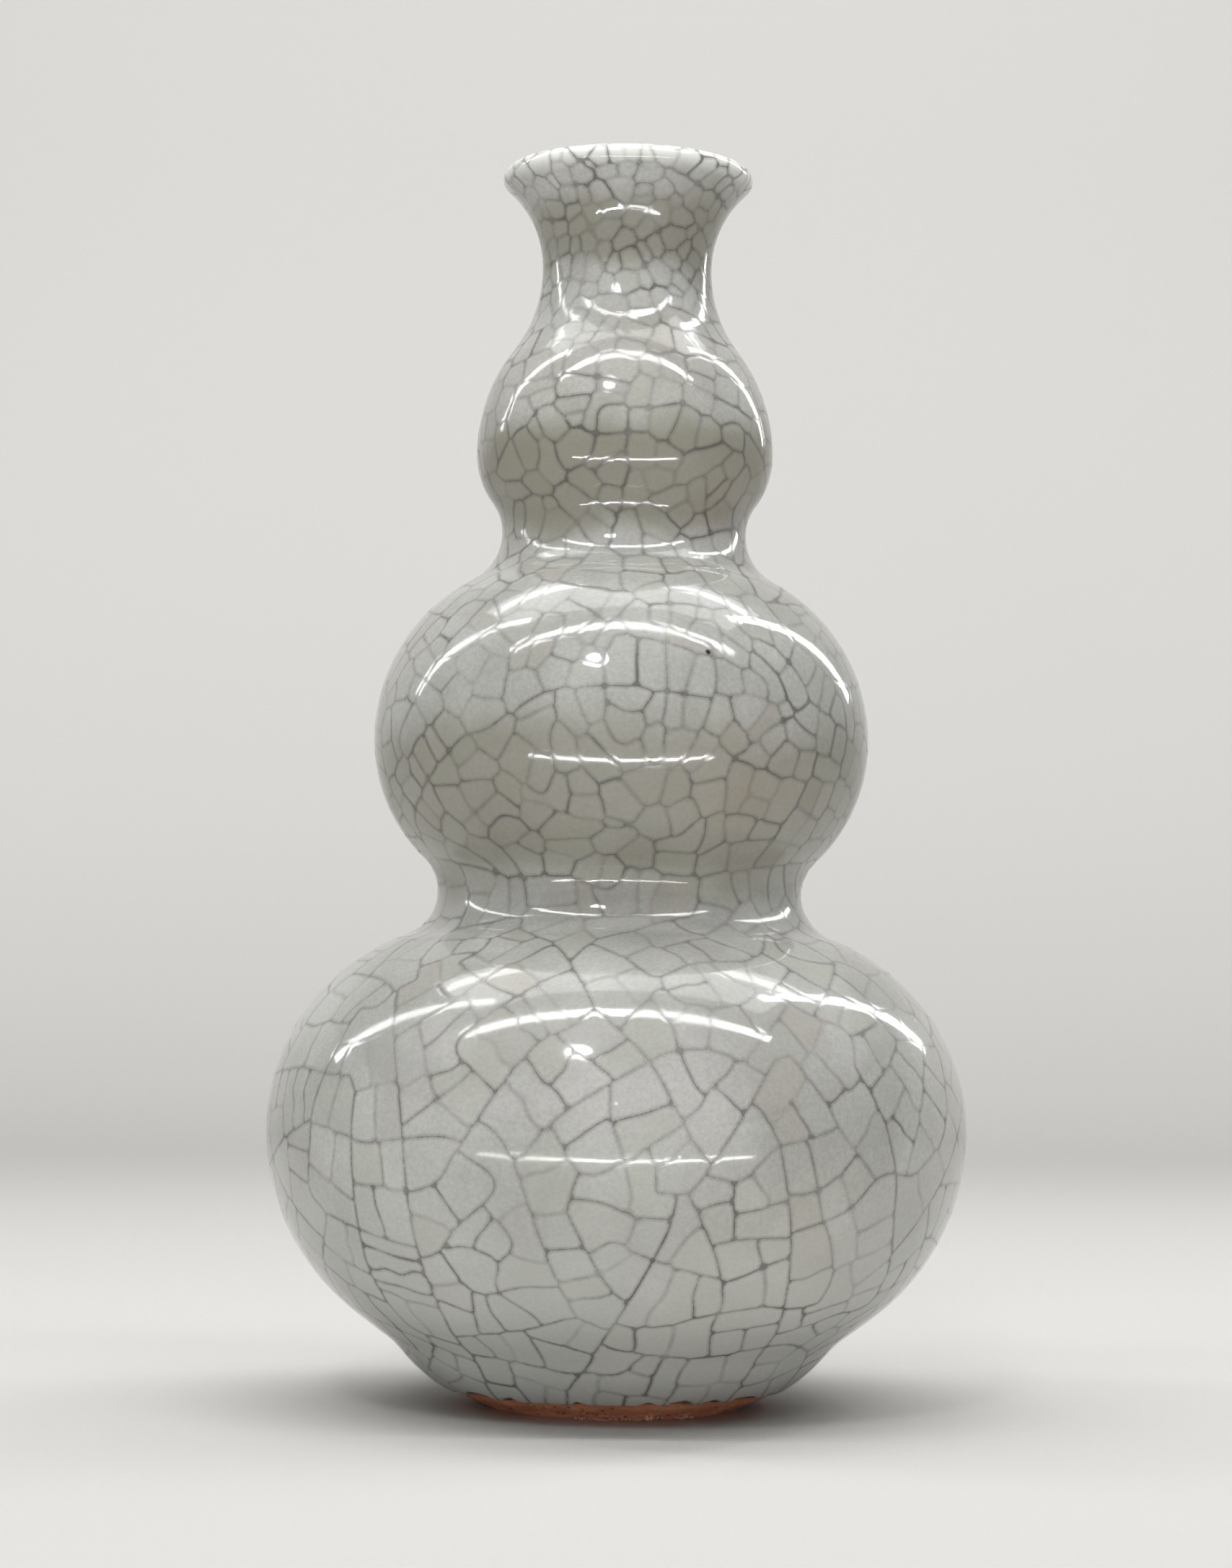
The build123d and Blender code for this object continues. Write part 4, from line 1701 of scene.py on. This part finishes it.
def grit_tree() -> NodeTree:
    """Build the tree that sets rough grains on points, none below the table.

    Returns:
        The tree.
    """
    wiring, taken, given = geometry_tree("rough_grains",
            (("Grain", "NodeSocketFloat"), ("Jaggedness", "NodeSocketFloat"),
            ("Finish", "NodeSocketMaterial")))
    ball = wiring.out("GeometryNodeMeshIcoSphere", {"Radius": taken.outputs["Grain"], "Subdivisions": 3})
    turn = wiring.out("FunctionNodeRandomValue", {0: (0.0, 0.0, 0.0), 1: (6.2, 6.2, 6.2), "Seed": 3},
            data_type="FLOAT_VECTOR")
    size = wiring.out("GeometryNodeInputNamedAttribute", {"Name": "size"}, data_type="FLOAT")
    shape = wiring.out("FunctionNodeRandomValue", {0: (0.75, 0.75, 0.6), 1: (1.25, 1.1, 0.95), "Seed": 9},
            data_type="FLOAT_VECTOR")
    scale = wiring.out("ShaderNodeVectorMath", {0: shape, 3: size}, operation="SCALE")
    set_out = wiring.out("GeometryNodeInstanceOnPoints",
            {"Points": taken.outputs[0], "Instance": ball, "Rotation": turn,
            "Scale": scale})
    real = wiring.out("GeometryNodeRealizeInstances", {0: set_out})
    coarse = wiring.add("ShaderNodeTexNoise", {"Scale": 1300.0, "Detail": 3.0, "Roughness": 0.6}).outputs[1]
    centred = wiring.out("ShaderNodeVectorMath", {0: coarse, 1: (0.5, 0.5, 0.5)}, operation="SUBTRACT")
    rough = wiring.out("ShaderNodeVectorMath", {0: centred, 3: taken.outputs["Jaggedness"]},
            operation="SCALE")
    knocked = wiring.out("GeometryNodeSetPosition", {"Geometry": real, "Offset": rough})
    place = wiring.out("GeometryNodeInputPosition")
    lifted = wiring.out("ShaderNodeVectorMath", {0: place, 1: (-1.0, -1.0, 0.00002)}, operation="MAXIMUM")
    stood = wiring.out("GeometryNodeSetPosition", {"Geometry": knocked, "Position": lifted})
    end_tree(wiring, stood, taken.outputs["Finish"], given)
    return wiring.tree


def converted(source: Piece, tree: NodeTree, values: dict[str, object]) -> Piece:
    """Run a Geometry Nodes tree on an object and put the plain mesh that it gives in its place.

    Args:
        source: Object to start from, which is removed.
        tree: Tree to run.
        values: Values for the tree's inputs, by name.

    Returns:
        A plain mesh object under the same name.
    """
    modifier = source.modifiers.new(tree.name, "NODES")
    modifier.node_group = tree
    for item in tree.interface.items_tree:
        if item.item_type == "SOCKET" and item.in_out == "INPUT" and item.name in values:
            modifier[item.identifier] = values[item.name]
    depsgraph = bpy.context.evaluated_depsgraph_get()
    mesh = bpy.data.meshes.new_from_object(source.evaluated_get(depsgraph), preserve_all_data_layers=True,
            depsgraph=depsgraph)
    while None in mesh.materials[:]:
        mesh.materials.pop(index=mesh.materials[:].index(None))
    name = source.name
    old = source.data
    bpy.data.objects.remove(source)
    bpy.data.meshes.remove(old)
    mesh.name = name
    return linked(name, mesh)


def wrapped(flat: Piece, section: Section, groove: float, finish: Finish) -> Piece:
    """Wrap a flat sheet round the vase and give it exact normals.

    Args:
        flat: Flat object with the attributes of a cracked sheet.
        section: Half section that its length follows.
        groove: Depth of the cracks.
        finish: Its finish.

    Returns:
        The wrapped piece.
    """
    curve = section.as_curve("section_line")
    made = converted(flat, wrap_tree(), {"Section": curve, "Groove Depth": groove * MM,
            "Finish": finish.material()})
    bpy.data.curves.remove(curve.data)
    set_normals(made.data, section)
    return made


def sheet_places(mesh: Mesh) -> tuple[Array, Array]:
    """Read the points of a wrapped sheet.

    Args:
        mesh: The wrapped sheet.

    Returns:
        Place of each point and its length along the section, in metres.
    """
    places = np.empty(len(mesh.vertices) * 3)
    mesh.vertices.foreach_get("co", places)
    along = np.empty(len(mesh.vertices), dtype=np.float32)
    mesh.attributes["along"].data.foreach_get("value", along)
    return places.reshape(-1, 3), along


def set_normals(mesh: Mesh, section: Section) -> None:
    """Give every point of a wrapped sheet the normal of its exact turned face.

    Args:
        mesh: The wrapped sheet.
        section: Half section that it follows.
    """
    places, along = sheet_places(mesh)
    normals = section.normals(places, along / MM)
    mesh.normals_split_custom_set_from_vertices(normals.tolist())


@dataclass
class GlazeCoat:
    """The crackled glaze: outside from foot to lip, and down into the mouth."""

    sizes: GourdSizes
    finish: Finish
    names: tuple[str, ...] = ("lower_bulb_glaze", "middle_bulb_glaze", "upper_bulb_glaze",
            "mouth_lining_glaze")
    groove: float = 0.06
    wander: float = 0.2
    wander_height: float = 6.5
    wander_waves: tuple[tuple[int, float, float], ...] = ((2, 0.7, 0.4), (5, 0.6, 2.1), (9, 0.3, 4.0),
            (17, 0.12, 1.0))

    def build(self) -> list[Piece]:
        """Crack the sheet, wrap it and split it along cracks: one piece for each bulb, one inside the mouth.

        Returns:
            The pieces, from the foot up.
        """
        coat = self.sizes.foot_coat()
        side = self.sizes.skin(0, self.sizes.foot_height)
        side = side[side[:, 1] > coat[-1, 1]]
        lining = self.sizes.skin(self.sizes.wall, self.sizes.glazed_floor)[::-1]
        low = int(np.argmax(lining[:, 1] < self.sizes.lined_mouth_low))
        section = Section(np.vstack((coat, side, lining[1:low])))
        crest = float(section.rise[len(coat) + len(side) - 1])
        net = CrackNet(section, crest)
        net.grow()
        log.info("cracks: %d points, %d edges", len(net.points), len(net.edges))
        sheet = CrackedSheet(net)
        log.info("sheet: %d points, %d faces, %d cells", len(sheet.places), len(sheet.faces),
                sheet.labels.max() + 1)
        waists = [float(np.interp(height, side[:, 1], section.rise[len(coat):len(coat) + len(side)]))
                for height in (self.sizes.stations[1][1], self.sizes.stations[3][1])]
        zones = np.digitize(sheet.cell_rises(), (*waists, crest))
        pieces = []
        for zone, name in enumerate(self.names):
            pieces.append(wrapped(sheet.part(name, zones == zone), section, self.groove, self.finish))
        self.let_run(pieces[0].data, coat)
        return pieces

    def let_run(self, mesh: Mesh, coat: Array) -> None:
        """Let the lower edge of the glaze wander up and down the foot.

        Args:
            mesh: Mesh of the outer coat, moved in place.
            coat: Section of the glaze on the foot.
        """
        places, along = sheet_places(mesh)
        share = np.clip(1 - along / (self.wander_height * MM), 0, 1) ** 2
        turn = np.arctan2(places[:, 0], -places[:, 1])
        wave = sum(size * np.sin(turn * count + start) for count, size, start in self.wander_waves)
        up = coat[40] - coat[20]
        up = up / np.hypot(*up)
        move = self.wander * wave * share * MM
        places += np.column_stack((np.sin(turn) * up[0], -np.cos(turn) * up[0],
                np.full(len(turn), up[1]))) * move[:, None]
        mesh.vertices.foreach_set("co", places.ravel())
        mesh.update()

    def dress(self, pieces: Sequence[Piece]) -> None:
        """Hide the CAD coats that the pieces stand in for.

        Args:
            pieces: The pieces, with the lining of the mouth last.
        """
        for piece in pieces[:-1]:
            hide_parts("outer_glaze")
        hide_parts("inner_glaze")


@dataclass
class PlainCoat:
    """A coat of glaze with an unmeshed crackle, such as deep inside or under the foot."""

    name: str
    node: str
    points: Array
    finish: Finish
    columns: int = 144

    def build(self) -> Piece:
        """Wrap an even grid along the section.

        Returns:
            The piece.
        """
        section = Section(self.points)
        count = max(4, round(section.along[-1] / 2.0))
        along = np.linspace(0, section.along[-1], count + 1)
        turns = np.linspace(-math.pi, math.pi, self.columns + 1)
        flat = [(turn, length * MM, 0.0) for length in along for turn in turns]
        row = self.columns + 1
        faces = [(i * row + j, i * row + j + 1, (i + 1) * row + j + 1, (i + 1) * row + j)
                for i in range(count) for j in range(self.columns)]
        mesh = bpy.data.meshes.new(self.name)
        mesh.from_pydata(flat, [], faces)
        put_attribute(mesh, "crack", "POINT", np.zeros(len(flat)))
        put_attribute(mesh, "along", "POINT", np.repeat(along, row) * MM)
        put_attribute(mesh, "tone", "FACE", np.zeros(len(faces)))
        put_attribute(mesh, "tint", "FACE", np.full(len(faces), 0.5))
        return wrapped(linked(self.name, mesh), section, 0.0, self.finish)

    def dress(self, piece: Piece) -> None:
        """Hide the CAD coat that the piece stands in for."""
        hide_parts(self.node)


@dataclass
class KilnGrit:
    """Pale grit from the kiln floor that stuck to the bevel of the foot."""

    sizes: GourdSizes
    finish: Finish
    angles: tuple[float, ...] = (-14.0, -7.0, -2.5, 2.0, 6.5, 11.0, 15.5, 20.0, 28.0, 32.0, 36.0)
    grain: float = 0.95
    jaggedness: float = 1.0
    seed: int = 5

    def build(self) -> Piece:
        """Set two to four rough grains at each clump.

        Returns:
            The piece.
        """
        draw = random.Random(self.seed)
        flat_radius = self.sizes.foot_radius - self.sizes.bevel_width
        seats, grains = [], []
        for angle in self.angles:
            for _ in range(draw.randint(2, 4)):
                turn = math.radians(angle + draw.uniform(-1.7, 1.7))
                size = draw.uniform(0.55, 1.2)
                height = draw.uniform(0.3, 0.9)
                radius = flat_radius + self.sizes.bevel_width * height / self.sizes.bevel_height
                seats.append((radius * math.sin(turn) * MM, -radius * math.cos(turn) * MM, height * MM))
                grains.append(size)
        mesh = bpy.data.meshes.new("grit_clumps")
        mesh.from_pydata(seats, [], [])
        put_attribute(mesh, "size", "POINT", np.array(grains))
        made = linked("grit_clumps", mesh)
        return converted(made, grit_tree(), {"Grain": self.grain * MM, "Jaggedness": self.jaggedness * MM,
                "Finish": self.finish.material()})

    def dress(self, piece: Piece) -> None:
        """Hide the CAD grains that these grains stand in for."""
        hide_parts("kiln_grit")


@dataclass
class ClayBody:
    """The CAD pieces of clay and slip, which keep their shape and get their finishes."""

    foot: Finish
    body: Finish
    slip: Finish

    def dress(self) -> None:
        """Set the finish of every clay node."""
        chosen = {"bare_foot_clay": self.foot, "clay_body": self.body, "luting_slip": self.slip}
        for subpart in frame["record"]["subparts"]:
            finish = chosen.get(subpart["material_slot"])
            if finish:
                for place in frame["nodes"][subpart["node"]].material_slots:
                    place.material = finish.material()


@dataclass
class Studio:
    """Pale floor and backdrop, soft lamps and the camera of the photo."""

    floor_colour: Colour = srgb(192, 191, 188)
    width: float = 3.6
    depth: float = 1.1
    front: float = 2.4
    bend: float = 0.7
    rise: float = 2.4
    photo: tuple[int, int] = (1708, 2174)
    axis_pixel: Pair = (857.2, 1360.0)
    lens_pixels: float = 4700.0
    camera_back: float = 0.7155
    camera_height: float = 0.0892
    roll: float = 0.715
    glow_start: float = 0.8
    glow_end: float = 2.0
    glow: float = 0.65
    dim_room: float = 0.08
    seen_room: float = 0.5
    fill_spread: float = 7.0

    def build(self) -> None:
        """Set up floor, lamps, world and camera."""
        self.build_floor()
        self.build_lamps()
        self.build_camera()
        scene = bpy.context.scene
        scene.view_settings.view_transform = "Standard"

    def build_floor(self) -> None:
        """Sweep the floor up into a backdrop, and let the camera see it pale where no lamp reaches."""
        line = [(-self.front, 0.0), (self.depth, 0.0)]
        for step in range(1, 25):
            angle = math.pi / 2 * step / 24
            line.append((self.depth + self.bend * math.sin(angle), self.bend * (1 - math.cos(angle))))
        line.append((self.depth + self.bend, self.rise))
        places = [(side * self.width, y, z) for y, z in line for side in (-1, 1)]
        faces = [(2 * i, 2 * i + 1, 2 * i + 3, 2 * i + 2) for i in range(len(line) - 1)]
        mesh = bpy.data.meshes.new("studio_floor")
        mesh.from_pydata(places, [], faces)
        mesh.polygons.foreach_set("use_smooth", [True] * len(faces))
        floor = linked("studio_floor", mesh)
        material = bpy.data.materials.new("studio_paper")
        material.use_nodes = True
        shader = material.node_tree.nodes["Principled BSDF"]
        wiring = ShaderWiring(material.node_tree)
        place = wiring.place()
        fibre = wiring.noise(place, 900.0, 3.0)
        darker = tuple(0.97 * value for value in self.floor_colour[:3]) + (1.0,)
        wiring.link(wiring.mix(fibre, darker, self.floor_colour), shader.inputs["Base Color"])
        shader.inputs["Roughness"].default_value = 0.9
        away = wiring.add("ShaderNodeVectorMath", {0: place}, operation="LENGTH").outputs["Value"]
        far_glow = wiring.ramp(away, self.glow_start, self.glow_end, 0.0, self.glow)
        wiring.link(wiring.times(far_glow, wiring.seen_rays()), shader.inputs["Emission Strength"])
        shader.inputs["Emission Color"].default_value = self.floor_colour
        mesh.materials.append(material)

    def build_lamps(self) -> None:
        """Hang soft lamps above, strips above, at the sides and low in front, and a small lamp in front."""
        self.lamp("overhead_soft", (0.0, 0.15, 1.25), (0.0, 0.0, 0.1), (1.6, 0.6), 9.0)
        self.lamp("front_soft", (0.0, -0.78, 1.02), (0.0, 0.0, 0.12), (1.5, 0.55), 0.8)
        self.lamp("overhead_strip", (0.0, -0.43, 1.17), (0.0, 0.0, 0.14), (2.0, 0.1), 10.0)
        self.lamp("left_strip", (-0.798, 0.158, 0.807), (0.0, 0.0, 0.16), (0.98, 0.07), 2.2,
                (-0.464, 0.516, -0.698))
        self.lamp("right_strip", (0.701, 0.424, 0.767), (0.0, 0.0, 0.16), (1.06, 0.08), 3.0,
                (0.188, 0.742, -0.736))
        self.lamp("front_lamp", (-0.28, -1.02, 1.15), (0.0, 0.0, 0.13), (0.2, 0.2), 3.0)
        self.lamp("low_strip", (0.0, -0.4, 0.002), (0.0, -0.4, 1.0), (0.7, 0.03), 2.5)
        fill = self.lamp("low_fill", (0.0, -2.0, 0.2), (0.0, 0.0, 0.025), (0.4, 0.06), 0.045)
        fill.data.spread = math.radians(self.fill_spread)
        fill.visible_glossy = False
        self.lamp("backdrop_lamp", (0.0, 0.55, 1.9), (0.0, 1.8, 0.7), (2.4, 0.4), 16.0)
        self.build_world()

    def build_world(self) -> None:
        """Fill the room with a dim light, and show it paler to the camera and in reflections."""
        world = bpy.data.worlds.new("studio_world")
        bpy.context.scene.world = world
        world.use_nodes = True
        shade = world.node_tree.nodes["Background"]
        shade.inputs["Color"].default_value = srgb(225, 226, 228)
        wiring = ShaderWiring(world.node_tree)
        strength = wiring.ramp(wiring.seen_rays(), 0.0, 1.0, self.dim_room, self.seen_room)
        wiring.link(strength, shade.inputs["Strength"])

    def lamp(self, name: str, place: Sequence[float], target: Sequence[float], size: Pair, watts: float,
            along: Sequence[float] = (1.0, 0.0, 0.0)) -> Piece:
        """Hang one rectangular lamp.

        Args:
            name: Name of the lamp.
            place: Where it hangs.
            target: What it points at.
            size: Width and height.
            watts: Its power.
            along: Direction of its width.

        Returns:
            The lamp.
        """
        data = bpy.data.lights.new(name, "AREA")
        data.shape = "RECTANGLE" if size[0] != size[1] else "DISK"
        data.size, data.size_y = size
        data.energy = watts
        made = linked(name, data)
        made.location = place
        back = (Vector(place) - Vector(target)).normalized()
        side = Vector(along)
        side = (side - side.dot(back) * back).normalized()
        made.rotation_euler = Matrix((side, back.cross(side), back)).transposed().to_euler()
        made.visible_camera = False
        return made

    def build_camera(self) -> None:
        """Stand the camera where the photo was taken from."""
        wide, tall = self.photo
        data = bpy.data.cameras.new("photo_camera")
        data.sensor_width = 36.0
        data.lens = data.sensor_width * self.lens_pixels / tall
        data.shift_x = (wide / 2 - self.axis_pixel[0]) / tall
        data.shift_y = (self.axis_pixel[1] - tall / 2) / tall
        data.clip_start = 0.02
        made = linked("photo_camera", data)
        made.location = (0.0, -self.camera_back, self.camera_height)
        made.rotation_euler = (math.pi / 2, math.radians(-self.roll), 0.0)
        bpy.context.scene.camera = made


def report(piece: Piece) -> None:
    """Let a piece ride on the vase and log its size."""
    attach(piece, "root")
    log.info("%s: %d points, %d faces", piece.name, len(piece.data.vertices), len(piece.data.polygons))


def plain_coats(sizes: GourdSizes, finish: Finish) -> list[PlainCoat]:
    """Describe the lining below the mouth and the glaze in the recess of the foot.

    Args:
        sizes: Sizes of the vase.
        finish: Finish of both coats.

    Returns:
        The two coats.
    """
    lining = sizes.skin(sizes.wall, sizes.glazed_floor)[::-1]
    low = int(np.argmax(lining[:, 1] < sizes.lined_mouth_low + 5.0))
    floor = np.array([(0.02, sizes.glazed_floor)])
    inside_line = np.vstack((lining[low:], arc(lining[-1], (-1, 0), floor[0], 1.0)[1:]))
    level = sizes.recess_depth
    edge = sizes.foot_inner_radius
    under = np.vstack((arc((0.02, level), (1, 0), (edge - sizes.glaze, level), 0.5),
            rounded(np.array((edge - sizes.glaze, level)), np.array((edge, level)),
            np.array((edge, level - sizes.glaze)))[1:]))
    return [PlainCoat("deep_lining_glaze", "inner_glaze", inside_line, finish),
            PlainCoat("foot_recess_glaze", "base_glaze", under, finish)]


def main() -> None:
    """Build the vase's pieces in order, dress them and set up the studio."""
    logging.basicConfig(level=logging.INFO, format="%(name)s %(message)s")
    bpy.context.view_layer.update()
    sizes = GourdSizes()
    crackle = CrackleGlaze("stained_crackle_glaze", srgb(179, 179, 175), srgb(158, 158, 153),
            srgb(150, 143, 126), 0.065)
    lining = LiningGlaze("inside_glaze", srgb(182, 182, 176), srgb(166, 166, 158), srgb(160, 150, 136),
            0.12)
    foot = FootClay("turned_foot_clay", srgb(232, 164, 128), srgb(202, 138, 106), srgb(104, 68, 52), 0.8)
    clay = Finish("fired_clay", srgb(134, 120, 110), srgb(106, 92, 84), srgb(60, 50, 44), 0.85)
    slip = Finish("fired_slip", srgb(146, 130, 118), srgb(120, 104, 94), srgb(70, 58, 50), 0.85)
    grit = Finish("sintered_grit", srgb(192, 150, 124), srgb(156, 114, 92), srgb(96, 64, 50), 0.85)
    ClayBody(foot, clay, slip).dress()
    coat = GlazeCoat(sizes, crackle)
    pieces = coat.build()
    coat.dress(pieces)
    for piece in pieces:
        report(piece)
    for maker in (*plain_coats(sizes, lining), KilnGrit(sizes, grit)):
        piece = maker.build()
        maker.dress(piece)
        report(piece)
    Studio().build()


if __name__ == "__main__":
    main()
